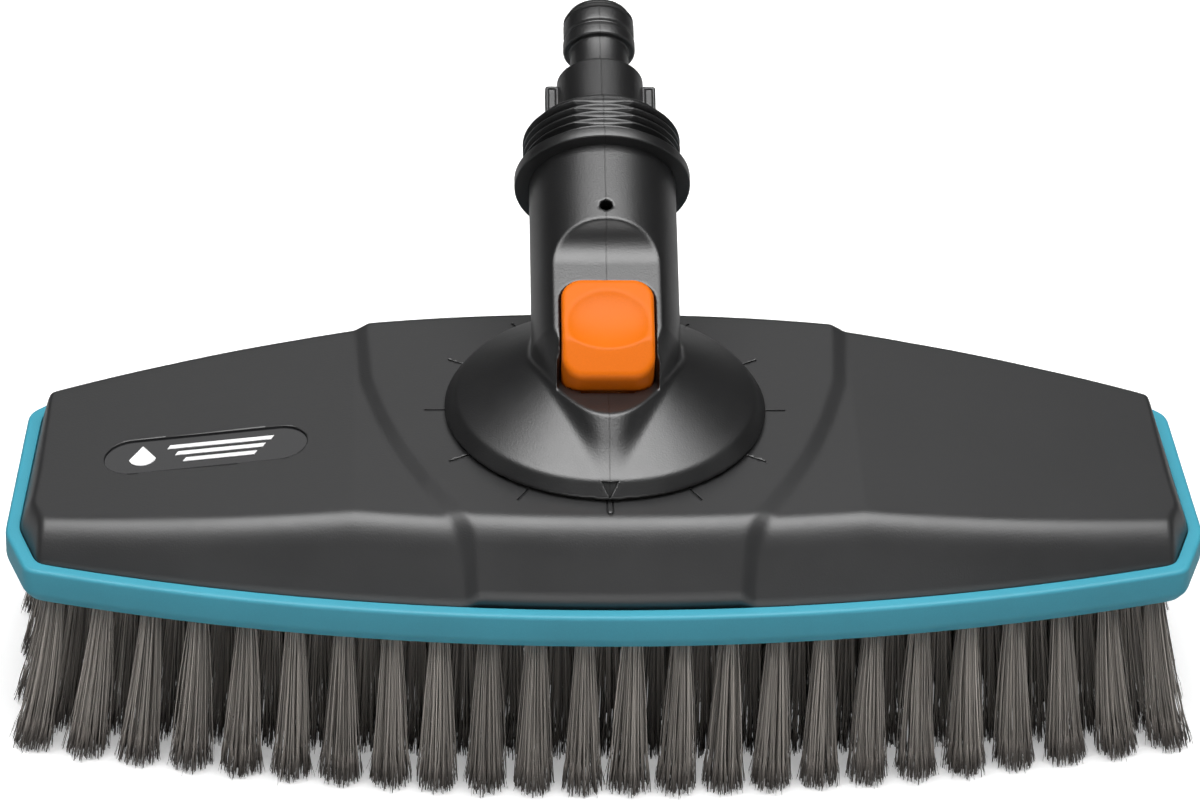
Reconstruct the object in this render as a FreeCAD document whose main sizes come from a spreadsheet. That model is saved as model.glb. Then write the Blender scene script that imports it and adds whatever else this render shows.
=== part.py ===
"""Flow-through wash brush head: a wide bristle head under a turning, inclined neck with a hose nipple.

Millimetres, +Z up, +X along the head, -Y towards the user's front edge.
The origin is on the swivel axis, in the plane of the bristle tips.
"""
import FreeCAD, Part
import Sketcher
import math
import os

Vector = FreeCAD.Vector
Rotation = FreeCAD.Rotation
Placement = FreeCAD.Placement

doc = FreeCAD.newDocument("WashBrushHead")
sheet = doc.addObject("Spreadsheet::Sheet", "Sizes")


# ---------------------------------------------------------------- sizes that carry their formula

class Size:
    """A number together with the spreadsheet formula that gives it."""

    def __init__(self, value, text):
        self.value = value
        self.text = text

    def __add__(self, other):
        other = as_size(other)
        return Size(self.value + other.value, "(%s + %s)" % (self.text, other.text))

    def __sub__(self, other):
        other = as_size(other)
        return Size(self.value - other.value, "(%s - %s)" % (self.text, other.text))

    def __mul__(self, other):
        other = as_size(other)
        return Size(self.value * other.value, "(%s * %s)" % (self.text, other.text))

    def __truediv__(self, other):
        other = as_size(other)
        return Size(self.value / other.value, "(%s / %s)" % (self.text, other.text))

    def __neg__(self):
        return Size(-self.value, "(-1 * %s)" % self.text)

    def __radd__(self, other):
        return as_size(other) + self

    def __rsub__(self, other):
        return as_size(other) - self

    def __rmul__(self, other):
        return as_size(other) * self


def as_size(number):
    if isinstance(number, Size):
        return number
    return Size(float(number), "(%.6f)" % number)


def sine(angle):
    return Size(math.sin(math.radians(angle.value)), "sin(%s)" % angle.text)


def cosine(angle):
    return Size(math.cos(math.radians(angle.value)), "cos(%s)" % angle.text)


def tangent(angle):
    return Size(math.tan(math.radians(angle.value)), "tan(%s)" % angle.text)


def root(number):
    return Size(math.sqrt(number.value), "sqrt(%s)" % number.text)


ZERO = as_size(0)

DRIVING = [
    # alias, value, what it is
    ("bristle_length", 45.0, "free bristle below the bumper frame"),
    ("head_half_length", 145.0, "swivel axis to the bumper frame's end"),
    ("front_reach", 60.3, "swivel axis to the bumper frame's front"),
    ("back_reach", 56.0, "swivel axis to the bumper frame's back"),
    ("front_bow", 510.0, "plan radius of the front"),
    ("back_bow", 400.0, "plan radius of the back"),
    ("front_corner", 5.5, "length cut off the front corners along X"),
    ("back_corner", 12.0, "length cut off the back corners along X"),
    ("end_taper", 3.5, "how much nearer the end is at its back"),
    ("end_front", 25.0, "where the straight end starts, in front of the axis"),
    ("end_back", 26.0, "where the straight end stops, behind the axis"),
    ("frame_height", 10.0, "height of the bumper frame"),
    ("frame_wall", 3.4, "bumper frame's wall, seen as a ledge round the cover"),
    ("frame_bevel", 3.0, "height of the bumper frame's lower bevel"),
    ("frame_tuck", 2.0, "how far the lower bevel tucks in"),
    ("tongue_depth", 2.2, "bumper tongue held between cover and brush plate"),
    ("tongue_height", 1.6, "thickness of that tongue"),
    ("crown_height", 17.1, "bumper frame's top to the cover's highest side area"),
    ("plateau_step", 1.5, "how far the centre section stands proud"),
    ("plateau_back", 61.0, "half width of the centre section at its back"),
    ("plateau_front", 34.3, "half width of the centre section at its front"),
    ("roof_slope", 7.0, "fall of the side areas towards the ends, degrees"),
    ("face_slope", 60.0, "slope of the cover's outer faces, degrees"),
    ("cover_wall", 2.4, "cover wall"),
    ("fit_gap", 0.2, "gap round pieces that drop into each other"),
    ("run_gap", 0.08, "radial clearance of the turning fits"),
    ("plate_height", 5.0, "thickness of the brush plate"),
    ("plate_lift", 1.0, "brush plate's underside above the bumper frame's"),
    ("tuft_root", 2.35, "radius of a tuft at the brush plate"),
    ("tuft_tip", 5.0, "radius of a tuft at its tip"),
    ("tuft_pitch", 11.5, "distance between tufts along a row"),
    ("tuft_edge", 6.0, "outer rows' roots inside the bumper frame's outline"),
    ("tuft_anchor", 3.6, "depth of the tuft holes"),
    ("end_lean", 9.5, "outward lean of the end tufts' tips"),
    ("outlet_bore", 1.5, "radius of the water outlets"),
    ("disc_radius", 39.3, "radius of the turning disc"),
    ("disc_bevel", 2.7, "radial width of the disc's bevelled edge"),
    ("disc_height", 4.7, "height of the disc's bevelled edge"),
    ("dome_slope", 28.4, "slope of the dome on the disc, degrees"),
    ("washer_height", 0.8, "sliding washer under the disc"),
    ("collar_radius", 25.0, "disc's collar in the cover"),
    ("collar_wall", 4.0, "wall of that collar"),
    ("detent_height", 3.0, "detent ring under the cover"),
    ("retainer_height", 2.5, "retainer under the detent ring"),
    ("neck_tilt", 22.0, "neck's axis above the level, degrees"),
    ("neck_radius", 18.5, "radius of the neck"),
    ("neck_bore", 15.2, "radius inside the neck's upper end"),
    ("pipe_bore", 10.6, "radius inside the neck under the button recess"),
    ("bore_step", 20.0, "flange to where the neck's bore narrows"),
    ("neck_start", 52.0, "flange to where the nose begins, along the neck"),
    ("nose_end", 88.0, "flange to the nose's end, along the neck"),
    ("nose_end_radius", 5.0, "radius of the nose at its end"),
    ("nose_end_drop", 1.0, "how far the nose's end is below the neck's axis"),
    ("flange_back", 48.9, "flange centre behind the swivel axis"),
    ("flange_rise", 35.0, "flange centre above the plateau"),
    ("flange_radius", 21.7, "radius of the flange"),
    ("flange_height", 0.9, "flange's top above the neck's zero"),
    ("flange_under", 2.0, "flange's underside below the neck's zero"),
    ("thread_radius", 19.5, "outer radius of the thread"),
    ("thread_depth", 1.5, "depth of the thread"),
    ("thread_pitch", 2.2, "distance between crests"),
    ("thread_length", 13.0, "length of the threaded collar"),
    ("thread_flat", 18.15, "neck's axis to the flats across the thread"),
    ("base_radius", 10.75, "nipple's base"),
    ("base_end", 30.3, "flange to the end of the nipple's base"),
    ("groove_radius", 7.3, "locking groove of the nipple"),
    ("locking_radius", 9.0, "locking collar of the nipple"),
    ("nipple_end", 51.0, "flange to the nipple's tip"),
    ("collar_place", 9.0, "length of the nipple's locking groove"),
    ("collar_length", 3.8, "length of the nipple's locking collar"),
    ("seal_ring_radius", 8.85, "ring beside the nipple's seal"),
    ("seal_ring_length", 4.6, "length of that ring"),
    ("tip_radius", 7.5, "nipple's tip"),
    ("seal_groove_radius", 7.1, "bottom of the nipple's seal groove"),
    ("seal_thickness", 0.85, "half the thickness of the nipple's seal"),
    ("lug_width", 4.0, "width of the nipple's two side lugs"),
    ("lug_reach", 3.0, "how far the lugs stand out"),
    ("lug_end", 28.0, "flange to the lugs' upper ends"),
    ("water_bore", 4.5, "radius of the waterway"),
    ("pipe_radius", 6.0, "radius outside the water pipe"),
    ("floor_level", 12.6, "button recess floor above the neck's axis"),
    ("scoop_radius", 11.5, "scoop at the recess's upper end"),
    ("scoop_place", 34.0, "flange to the scoop's foot"),
    ("shelf_rise", 13.6, "recess shelf in front of the button, above the plateau"),
    ("button_width", 23.0, "width of the release button"),
    ("button_back", 39.1, "flange to the button's upper end"),
    ("button_front", 66.0, "flange to the button's lower end"),
    ("button_top", 14.6, "button's face above the neck's axis"),
    ("button_under", 9.9, "button's underside above the neck's axis"),
    ("button_corner", 4.6, "rounding of the button's corners"),
    ("button_gap", 0.35, "gap round the button"),
    ("button_slope", 25.6, "slope of the button's front bevel, degrees"),
    ("button_break", 57.0, "flange to where that bevel starts"),
    ("badge_place", 96.9, "badge's centre left of the swivel axis"),
    ("badge_front", 8.7, "badge's centre in front of the swivel axis"),
    ("badge_half_length", 24.8, "half the badge's length"),
    ("badge_half_width", 7.0, "half the badge's width"),
    ("badge_depth", 0.9, "depth of the badge's recess"),
    ("badge_height", 0.5, "thickness of the badge plate"),
    ("emblem_height", 0.2, "how far the emblem stands up"),
    ("tick_half_width", 0.35, "half the width of the swivel scale's marks"),
    ("tick_depth", 0.4, "depth of those marks"),
    ("tick_reach", 4.6, "how far the marks run out from the disc"),
    ("screw_shank", 1.5, "radius of the screws"),
    ("screw_head", 2.9, "radius of the screws' heads"),
    ("screw_head_height", 1.6, "height of the screws' heads"),
    ("screw_grip", 8.0, "length of the screws under the head"),
    ("boss_radius", 3.6, "bosses the plate screws bite into"),
    ("channel_half_width", 17.0, "half the width of the water channel"),
    ("channel_height", 4.0, "height of the water channel"),
    ("channel_wall", 2.0, "wall of the water channel"),
    ("channel_foot", 3.0, "width of the channel's foot"),
    ("gasket_height", 1.0, "thickness of the gasket under the channel"),
]

for row, (alias, value, meaning) in enumerate(DRIVING, start=1):
    sheet.set("A%d" % row, meaning)
    sheet.set("B%d" % row, "%g" % value)
    sheet.setAlias("B%d" % row, alias)
doc.recompute()


class Named:
    """The driving sizes by name, such as S.neck_radius."""


S = Named()
for alias, value, meaning in DRIVING:
    setattr(S, alias, Size(value, "Sizes.%s" % alias))

# levels above the bristle tips
frame_under = S.bristle_length
frame_top = frame_under + S.frame_height
plate_under = frame_under + S.plate_lift
plate_top = plate_under + S.plate_height
rim_under = plate_top + S.tongue_height + S.fit_gap
side_top = frame_top + S.crown_height
plateau_top = side_top + S.plateau_step
disc_under = plateau_top + S.washer_height
cover_inside = side_top - S.cover_wall
detent_under = cover_inside - S.detent_height
retainer_top = detent_under - S.fit_gap
retainer_under = retainer_top - S.retainer_height


# ---------------------------------------------------------------- small helpers

def bind(thing, prop, size):
    """Bind one property of an object to a formula of the sheet."""
    thing.setExpression(prop, as_size(size).text)


def place(thing, x=ZERO, y=ZERO, z=ZERO):
    """Put an object at a point of the head's frame."""
    x, y, z = as_size(x), as_size(y), as_size(z)
    thing.Placement = Placement(Vector(x.value, y.value, z.value), thing.Placement.Rotation)
    for axis, size in (("x", x), ("y", y), ("z", z)):
        bind(thing, "Placement.Base.%s" % axis, size)
    return thing


def neck_point(x, y, z):
    """A point given in the neck's frame: +Z out of the nipple, +Y the way the button goes in."""
    up, along = sine(S.neck_tilt), cosine(S.neck_tilt)
    return (as_size(x),
            S.flange_back + as_size(y) * up + as_size(z) * along,
            plateau_top + S.flange_rise - as_size(y) * along + as_size(z) * up)


def place_on_neck(thing, x=ZERO, y=ZERO, z=ZERO):
    """Put an object in the neck's frame, whose origin is the flange's centre."""
    point = neck_point(x, y, z)
    turn = 90 - S.neck_tilt
    base = Vector(point[0].value, point[1].value, point[2].value)
    thing.Placement = Placement(base, Rotation(Vector(-1, 0, 0), turn.value))
    for axis, size in zip("xyz", point):
        bind(thing, "Placement.Base.%s" % axis, size)
    bind(thing, "Placement.Rotation.Angle", turn)
    return thing


def cylinder(name, radius, height):
    solid = doc.addObject("Part::Cylinder", name)
    bind(solid, "Radius", radius)
    bind(solid, "Height", height)
    return solid


def cone(name, radius_low, radius_high, height):
    solid = doc.addObject("Part::Cone", name)
    bind(solid, "Radius1", radius_low)
    bind(solid, "Radius2", radius_high)
    bind(solid, "Height", height)
    return solid


def torus(name, radius, thickness):
    solid = doc.addObject("Part::Torus", name)
    bind(solid, "Radius1", radius)
    bind(solid, "Radius2", thickness)
    return solid


def block(name, low, high):
    """A box between two corners given as formulas."""
    solid = doc.addObject("Part::Box", name)
    for prop, a, b in zip(("Length", "Width", "Height"), low, high):
        bind(solid, prop, as_size(b) - as_size(a))
    place(solid, *low)
    return solid


def fuse(name, shapes):
    result = doc.addObject("Part::MultiFuse", name)
    result.Shapes = shapes
    return result


def cut(name, base, tool):
    result = doc.addObject("Part::Cut", name)
    result.Base = base
    result.Tool = tool
    return result


def common(name, shapes):
    result = doc.addObject("Part::MultiCommon", name)
    result.Shapes = shapes
    return result


def group(name, shapes):
    """Identical separate pieces that share one node."""
    result = doc.addObject("Part::Compound", name)
    result.Links = shapes
    return result


def new_body(name):
    return doc.addObject("PartDesign::Body", name)


def sketch_on(body, name, plane, lift=ZERO):
    """A sketch on one of the body's own planes, lifted along that plane's normal."""
    sketch = body.newObject("Sketcher::SketchObject", name)
    for feature in body.Origin.OriginFeatures:
        if feature.Role == plane:
            sketch.AttachmentSupport = [(feature, "")]
    sketch.MapMode = "FlatFace"
    lift = as_size(lift)
    sketch.AttachmentOffset = Placement(Vector(0, 0, lift.value), Rotation())
    bind(sketch, "AttachmentOffset.Base.z", lift)
    return sketch


def hold_point(sketch, edge, end, x, y):
    """Fix one end of an edge at a point given by two formulas."""
    for kind, size in (("DistanceX", x), ("DistanceY", y)):
        index = sketch.addConstraint(Sketcher.Constraint(kind, -1, 1, edge, end, size.value))
        sketch.setExpression("Constraints[%d]" % index, size.text)


def draw_outline(sketch, corners, bends=None):
    """A closed outline through the corners; bends gives an edge a radius (+ bulges to its right)."""
    bends = bends or {}
    corners = [(as_size(x), as_size(y)) for x, y in corners]
    count = len(corners)
    starts = []
    for i in range(count):
        a = Vector(corners[i][0].value, corners[i][1].value, 0)
        b = Vector(corners[(i + 1) % count][0].value, corners[(i + 1) % count][1].value, 0)
        if i in bends:
            radius = bends[i]
            side = 1 if radius.value > 0 else -1
            chord = b - a
            right = Vector(chord.y, -chord.x, 0)
            right.normalize()
            half = chord.Length / 2
            sagitta = abs(radius.value) - math.sqrt(radius.value ** 2 - half ** 2)
            middle = (a + b) * 0.5 + right * (side * sagitta)
            edge = sketch.addGeometry(Part.Arc(a, middle, b), False)
            # an arc always runs counterclockwise, so its first end may be either corner
            first = sketch.getPoint(edge, 1)
            starts.append((edge, 1 if (first - a).Length < (first - b).Length else 2))
            index = sketch.addConstraint(Sketcher.Constraint("Radius", edge, abs(radius.value)))
            text = radius.text if side > 0 else (-radius).text
            sketch.setExpression("Constraints[%d]" % index, text)
        else:
            edge = sketch.addGeometry(Part.LineSegment(a, b), False)
            starts.append((edge, 1))
    for i in range(count):
        edge, start = starts[i]
        after, after_start = starts[(i + 1) % count]
        sketch.addConstraint(Sketcher.Constraint("Coincident", edge, 3 - start, after, after_start))
        hold_point(sketch, edge, start, *corners[i])
    return sketch


def draw_circle(sketch, x, y, radius):
    x, y, radius = as_size(x), as_size(y), as_size(radius)
    circle = Part.Circle(Vector(x.value, y.value, 0), Vector(0, 0, 1), radius.value)
    edge = sketch.addGeometry(circle, False)
    index = sketch.addConstraint(Sketcher.Constraint("Radius", edge, radius.value))
    sketch.setExpression("Constraints[%d]" % index, radius.text)
    hold_point(sketch, edge, 3, x, y)


def pad(body, sketch, length, downwards=False, both_ways=False):
    feature = body.newObject("PartDesign::Pad", sketch.Name + "Pad")
    feature.Profile = sketch
    bind(feature, "Length", length)
    feature.Reversed = downwards
    feature.Midplane = both_ways
    sketch.Visibility = False
    return feature


def pocket(body, sketch, length, downwards=True, both_ways=False):
    """Cut a sketch out of the body; the cut goes against the sketch's normal unless told otherwise."""
    feature = body.newObject("PartDesign::Pocket", sketch.Name + "Pocket")
    feature.Profile = sketch
    bind(feature, "Length", length)
    feature.Reversed = not downwards
    feature.Midplane = both_ways
    sketch.Visibility = False
    return feature


def revolve(body, sketch):
    """Turn a sketch of the XZ plane round the body's Z axis."""
    feature = body.newObject("PartDesign::Revolution", sketch.Name + "Turned")
    feature.Profile = sketch
    feature.ReferenceAxis = (sketch, ["V_Axis"])
    feature.Angle = 360.0
    sketch.Visibility = False
    return feature


def turned(name, profile):
    """A turned piece from its (radius, height) outline."""
    body = new_body(name)
    sketch = sketch_on(body, name + "Profile", "XZ_Plane")
    draw_outline(sketch, profile)
    revolve(body, sketch)
    return body


def loft(body, name, sections):
    feature = body.newObject("PartDesign::AdditiveLoft", name)
    feature.Profile = sections[0]
    feature.Sections = sections[1:]
    feature.Ruled = True
    for sketch in sections:
        sketch.Visibility = False
    return feature


def polar(body, feature, count):
    """Repeat a feature round the body's Z axis."""
    pattern = body.newObject("PartDesign::PolarPattern", feature.Name + "Round")
    pattern.Originals = [feature]
    for axis in body.Origin.OriginFeatures:
        if axis.Role == "Z_Axis":
            pattern.Axis = (axis, [""])
    pattern.Angle = 360.0
    pattern.Occurrences = count
    body.Tip = pattern
    return pattern


def ring(name, inner, outer, height):
    """A flat ring, its underside in the body's own XY plane."""
    body = new_body(name)
    sketch = sketch_on(body, name + "Section", "XY_Plane")
    draw_circle(sketch, 0, 0, outer)
    draw_circle(sketch, 0, 0, inner)
    pad(body, sketch, height)
    return body


NODES = {}


def node(label, thing):
    """Name a finished sub-part."""
    thing.Label = label
    NODES[label] = thing
    return thing


# ---------------------------------------------------------------- the head's plan

def head_outline(inset):
    """Corners of the head's plan, set in from the bumper frame's outside, and its two bowed edges."""
    front_radius = S.front_bow - inset
    back_radius = S.back_bow - inset
    front_x = S.head_half_length - S.front_corner - inset * 0.8
    back_x = S.head_half_length - S.back_corner - inset * 0.7
    front_y = inset - S.front_reach + front_radius - root(front_radius * front_radius - front_x * front_x)
    back_y = S.back_reach - inset - back_radius + root(back_radius * back_radius - back_x * back_x)
    end_x = S.head_half_length - inset
    far_x = end_x - S.end_taper
    low_y = inset * 0.4 - S.end_front
    high_y = S.end_back - inset * 0.4
    corners = [(-front_x, front_y), (front_x, front_y), (end_x, low_y), (far_x, high_y),
               (back_x, back_y), (-back_x, back_y), (-far_x, high_y), (-end_x, low_y)]
    bends = {0: front_radius, 4: back_radius}
    return corners, bends


def outline_sketch(body, name, inset, level):
    sketch = sketch_on(body, name, "XY_Plane", level)
    corners, bends = head_outline(as_size(inset))
    return draw_outline(sketch, corners, bends)


def outline_block(name, inset, low, high):
    """A straight-sided block with the head's plan."""
    body = new_body(name)
    pad(body, outline_sketch(body, name + "Plan", inset, low), as_size(high) - as_size(low))
    return body


def sloped_block(name, inset, low, high):
    """A block with the head's plan whose faces lean in at the cover's slope above the bumper frame."""
    body = new_body(name)
    lean = as_size(1) / tangent(S.face_slope)
    sections = [outline_sketch(body, name + "Low", as_size(inset) + (as_size(low) - frame_top) * lean, low),
                outline_sketch(body, name + "High", as_size(inset) + (as_size(high) - frame_top) * lean, high)]
    loft(body, name + "Loft", sections)
    return body


# ---------------------------------------------------------------- bumper frame

def make_bumper_frame():
    body = new_body("BumperFrameOuter")
    sections = [outline_sketch(body, "FrameUnder", S.frame_tuck, frame_under),
                outline_sketch(body, "FrameWaist", ZERO, frame_under + S.frame_bevel),
                outline_sketch(body, "FrameTop", ZERO, frame_top)]
    loft(body, "FrameWall", sections)
    above = outline_block("FrameAboveTongue", S.frame_wall, plate_top + S.tongue_height, frame_top + 1)
    below = outline_block("FrameBelowTongue", S.frame_wall, frame_under - 1, plate_top)
    middle = outline_block("FrameTongueHole", S.frame_wall + S.tongue_depth, plate_top - 1, frame_top)
    frame = cut("BumperFrameSolid", body, fuse("BumperFrameHollow", [above, below, middle]))
    return node("bumper_frame", frame)


# ---------------------------------------------------------------- cover

def roof(name, drop):
    """Everything under the cover's roof: level in the middle, falling towards both ends."""
    body = new_body(name)
    sketch = sketch_on(body, name + "Profile", "XZ_Plane")
    reach = S.head_half_length + 10
    top = side_top - drop
    fall = (reach - S.plateau_back) * tangent(S.roof_slope)
    low = S.bristle_length
    draw_outline(sketch, [(-reach, low), (reach, low), (reach, top - fall), (S.plateau_back, top),
                          (-S.plateau_back, top), (-reach, top - fall)])
    pad(body, sketch, (S.front_reach + S.back_reach) * 2, both_ways=True)
    return body


def plateau_plan(name):
    """Plan of the proud centre section: wide at the back, drawn in round the disc, narrow in front."""
    body = new_body(name)
    sketch = sketch_on(body, name + "Plan", "XY_Plane", S.bristle_length)
    back = S.back_reach + 5
    front = S.front_reach + 5
    shoulder = S.back_reach * 0.6
    knee_x = S.plateau_front + 1.5
    knee_y = S.front_reach * 0.8
    corners = [(-S.plateau_back, back), (-S.plateau_back, shoulder), (-knee_x, -knee_y),
               (-S.plateau_front, -front), (S.plateau_front, -front), (knee_x, -knee_y),
               (S.plateau_back, shoulder), (S.plateau_back, back)]
    bend = S.front_reach * 2.9
    draw_outline(sketch, corners, {1: bend, 5: bend})
    pad(body, sketch, S.frame_height + S.crown_height + 10)
    return body


def make_top_cover():
    wall = S.frame_wall + S.fit_gap
    rise = side_top + 4
    skin = sloped_block("CoverSides", wall, rim_under, rise)
    shell = common("CoverOuter", [skin, roof("CoverRoof", 0)])
    # the foot below the ledge stands straight inside the bumper frame
    foot = cut("CoverFoot", outline_block("CoverFootBlock", wall, rim_under, frame_top),
               outline_block("CoverFootHollow", wall + S.cover_wall, rim_under - 1, frame_top + 1))
    proud = common("CoverProud", [sloped_block("PlateauSides", wall - S.plateau_step, frame_top, rise),
                                  plateau_plan("Plateau"),
                                  block("PlateauTop", (-S.plateau_back - 1, -S.front_reach - 5, frame_top),
                                        (S.plateau_back + 1, S.back_reach + 5, plateau_top))])
    trimmed = cut("CoverOuterTrimmed", shell,
                  block("CoverBelowLedge", (-S.head_half_length - 5, -S.front_reach - 5, rim_under - 1),
                        (S.head_half_length + 5, S.back_reach + 5, frame_top)))
    outside = fuse("CoverOutside", [trimmed, foot, proud])
    inner_inset = wall + S.cover_wall * 1.15
    hollow = common("CoverHollow", [sloped_block("CoverInnerSides", inner_inset, rim_under - 1, rise),
                                    roof("CoverInnerRoof", S.cover_wall)])
    bore = place(cylinder("CoverBore", S.collar_radius + S.run_gap, 30), z=cover_inside - 5)
    badge = place_badge(badge_block("BadgeRecess", ZERO, 3))
    return cut("CoverShell", outside, fuse("CoverCuts", [hollow, bore, badge, make_ticks()]))


# ---------------------------------------------------------------- badge



def badge_level():
    """Height of the sloping roof at the badge's centre."""
    return side_top - (S.badge_place - S.plateau_back) * tangent(S.roof_slope)


def badge_block(name, shrink, height):
    """An oval plate, round at both ends, its underside in the body's own XY plane."""
    body = new_body(name)
    sketch = sketch_on(body, name + "Plan", "XY_Plane")
    half = S.badge_half_length - S.badge_half_width
    width = S.badge_half_width - shrink
    end = half + width
    draw_outline(sketch, [(-half, -width), (half, -width), (end, 0), (half, width),
                          (-half, width), (-end, 0)], {1: width, 2: width, 4: width, 5: width})
    pad(body, sketch, height)
    return body


def make_badge():
    plate = badge_block("BadgePlate", S.fit_gap / 2, S.badge_height)
    node("badge_plate", place_badge(plate))
    make_badge_emblem()


def place_badge(thing, lift=ZERO):
    """Lay a piece above the floor of the badge's recess, in the slope of the left side area."""
    drop = S.badge_depth - lift
    level = badge_level() - drop * cosine(S.roof_slope)
    place(thing, drop * sine(S.roof_slope) - S.badge_place, -S.badge_front, level)
    thing.Placement = Placement(thing.Placement.Base, Rotation(Vector(0, -1, 0), S.roof_slope.value))
    bind(thing, "Placement.Rotation.Angle", S.roof_slope)
    return thing


# ---------------------------------------------------------------- swivel scale

TICK_COUNT = 12


def make_ticks():
    """Shallow marks every 30 degrees round the disc."""
    body = new_body("TickMarks")
    sketch = sketch_on(body, "TickPlan", "XY_Plane")
    inner = S.disc_radius - 1
    outer = S.disc_radius + S.tick_reach
    draw_outline(sketch, [(-S.tick_half_width, -inner), (-S.tick_half_width, -outer),
                          (S.tick_half_width, -outer), (S.tick_half_width, -inner)])
    first = pad(body, sketch, 3)
    polar(body, first, TICK_COUNT)
    return place(body, z=plateau_top - S.tick_depth)



# ---------------------------------------------------------------- badge emblem

def make_badge_emblem():
    """A plain water drop and three bars, standing a little above the badge plate."""
    body = new_body("BadgeEmblem")
    height = S.badge_half_width * 0.62
    left = -S.badge_half_length * 0.62
    drop = sketch_on(body, "EmblemDrop", "XY_Plane")
    waist = height * 0.75
    draw_outline(drop, [(left, height), (left - waist, -height * 0.25), (left + waist, -height * 0.25)],
                 {1: waist * 1.02})
    pad(body, drop, S.emblem_height)
    for index in range(3):
        start = S.badge_half_length * (0.08 * index - 0.38)
        bar = sketch_on(body, "EmblemBar%d" % index, "XY_Plane")
        level = height * (0.66 - 0.66 * index)
        half = height * 0.17
        end = start + S.badge_half_length * (1.02 - 0.16 * index)
        draw_outline(bar, [(start, level - half), (end, level - half),
                           (end + half, level + half), (start + half, level + half)])
        pad(body, bar, S.emblem_height)
    place_badge(body, S.badge_height)
    return node("badge_emblem", body)


# ---------------------------------------------------------------- brush plate and tufts

TUFT_ROWS = 8
TUFTS_IN_LONG_ROW = 24


def row_place(x, share):
    """Where a row crosses x: share 0 is the front row, 1 the back row."""
    front_radius = S.front_bow.value - S.tuft_edge.value
    back_radius = S.back_bow.value - S.tuft_edge.value
    front = S.tuft_edge.value - S.front_reach.value + front_radius - math.sqrt(front_radius ** 2 - x ** 2)
    back = S.back_reach.value - S.tuft_edge.value - back_radius + math.sqrt(back_radius ** 2 - x ** 2)
    return front + share * (back - front)


def row_positions(row):
    """Tuft places of one row; every second row has one tuft fewer and stands between the others."""
    count = TUFTS_IN_LONG_ROW - row % 2
    share = row / (TUFT_ROWS - 1)
    pitch = S.tuft_pitch.value
    xs = [(i - (count - 1) / 2) * pitch for i in range(count)]
    return [(x, row_place(x, share)) for x in xs]


def circle_wire(x, y, z, radius):
    return Part.Wire(Part.makeCircle(radius, Vector(x, y, z)))


def tuft_solid(x, y):
    """One tuft: a round root in the brush plate, flaring to its tip; the end tufts lean outwards."""
    lean = S.end_lean.value * (x / S.head_half_length.value) ** 3
    root_radius = S.tuft_root.value
    anchor = plate_under.value + S.tuft_anchor.value
    sections = [circle_wire(x, y, anchor, root_radius),
                circle_wire(x, y, plate_under.value, root_radius),
                circle_wire(x + lean, y, 0, S.tuft_tip.value)]
    return Part.makeLoft(sections, True, True)


def is_carrying(row, index, count):
    """The few tufts that are kept apart because the head's collision stands on them."""
    return row in (0, TUFT_ROWS - 1) and index in (0, count // 3, count - 1 - count // 3, count - 1)


def make_tufts():
    carrying = []
    for row in range(TUFT_ROWS):
        places = row_positions(row)
        others = []
        for index, (x, y) in enumerate(places):
            tuft = tuft_solid(x, y)
            if is_carrying(row, index, len(places)):
                carrying.append(tuft)
            else:
                others.append(tuft)
        solids = doc.addObject("Part::Feature", "TuftRow%d" % (row + 1))
        solids.Shape = Part.makeCompound(others)
        node("tuft_row_%d" % (row + 1), solids)
    solids = doc.addObject("Part::Feature", "CarryingTufts")
    solids.Shape = Part.makeCompound(carrying)
    node("carrying_tufts", solids)




def plate_screw_places():
    """Between the second and third rows from the front, and from the back, at four places along X."""
    places = []
    for share in (1.5, TUFT_ROWS - 2.5):
        for pitches in (-9.5, -3.5, 3.5, 9.5):
            x = pitches * S.tuft_pitch.value
            places.append((x, row_place(x, share / (TUFT_ROWS - 1))))
    return places


def outlet_places():
    """Water outlets between the rows under the distributor's channel."""
    places = []
    for pitches in range(-8, 9, 2):
        x = (pitches + 0.5 if pitches < 0 else pitches - 0.5) * S.tuft_pitch.value
        for share in (2.5, 3.5, 4.5):
            places.append((x, row_place(x, share / (TUFT_ROWS - 1))))
    return [(x, y) for x, y in places if abs(y) < S.channel_half_width.value - 2]


def drilled(name, places, radius, low, high):
    """A set of vertical cylinders used to drill holes."""
    tool = doc.addObject("Part::Feature", name)
    tool.Shape = Part.makeCompound([
        Part.makeCylinder(radius.value, high.value - low.value, Vector(x, y, low.value)) for x, y in places])
    return tool


def make_brush_plate():
    inset = S.frame_wall + S.fit_gap
    blank = outline_block("BrushPlateBlank", inset, plate_under, plate_top)
    tufts = [place for row in range(TUFT_ROWS) for place in row_positions(row)]
    holes = drilled("TuftHoles", tufts, S.tuft_root, plate_under - 1, plate_under + S.tuft_anchor)
    outlets = drilled("WaterOutlets", outlet_places(), S.outlet_bore, plate_under - 1, plate_top + 1)
    shanks = drilled("PlateScrewHoles", plate_screw_places(), S.screw_shank + S.fit_gap,
                     plate_under - 1, plate_top + 1)
    sinks = drilled("PlateScrewSinks", plate_screw_places(), S.screw_head + S.fit_gap,
                    plate_under - 1, plate_under + S.screw_head_height)
    drilled_plate = cut("BrushPlateDrilled", blank, holes)
    for name, tool in (("BrushPlateWatered", outlets), ("BrushPlateScrewed", shanks),
                       ("BrushPlateSolid", sinks)):
        drilled_plate = cut(name, drilled_plate, tool)
    return node("brush_plate", drilled_plate)


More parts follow.
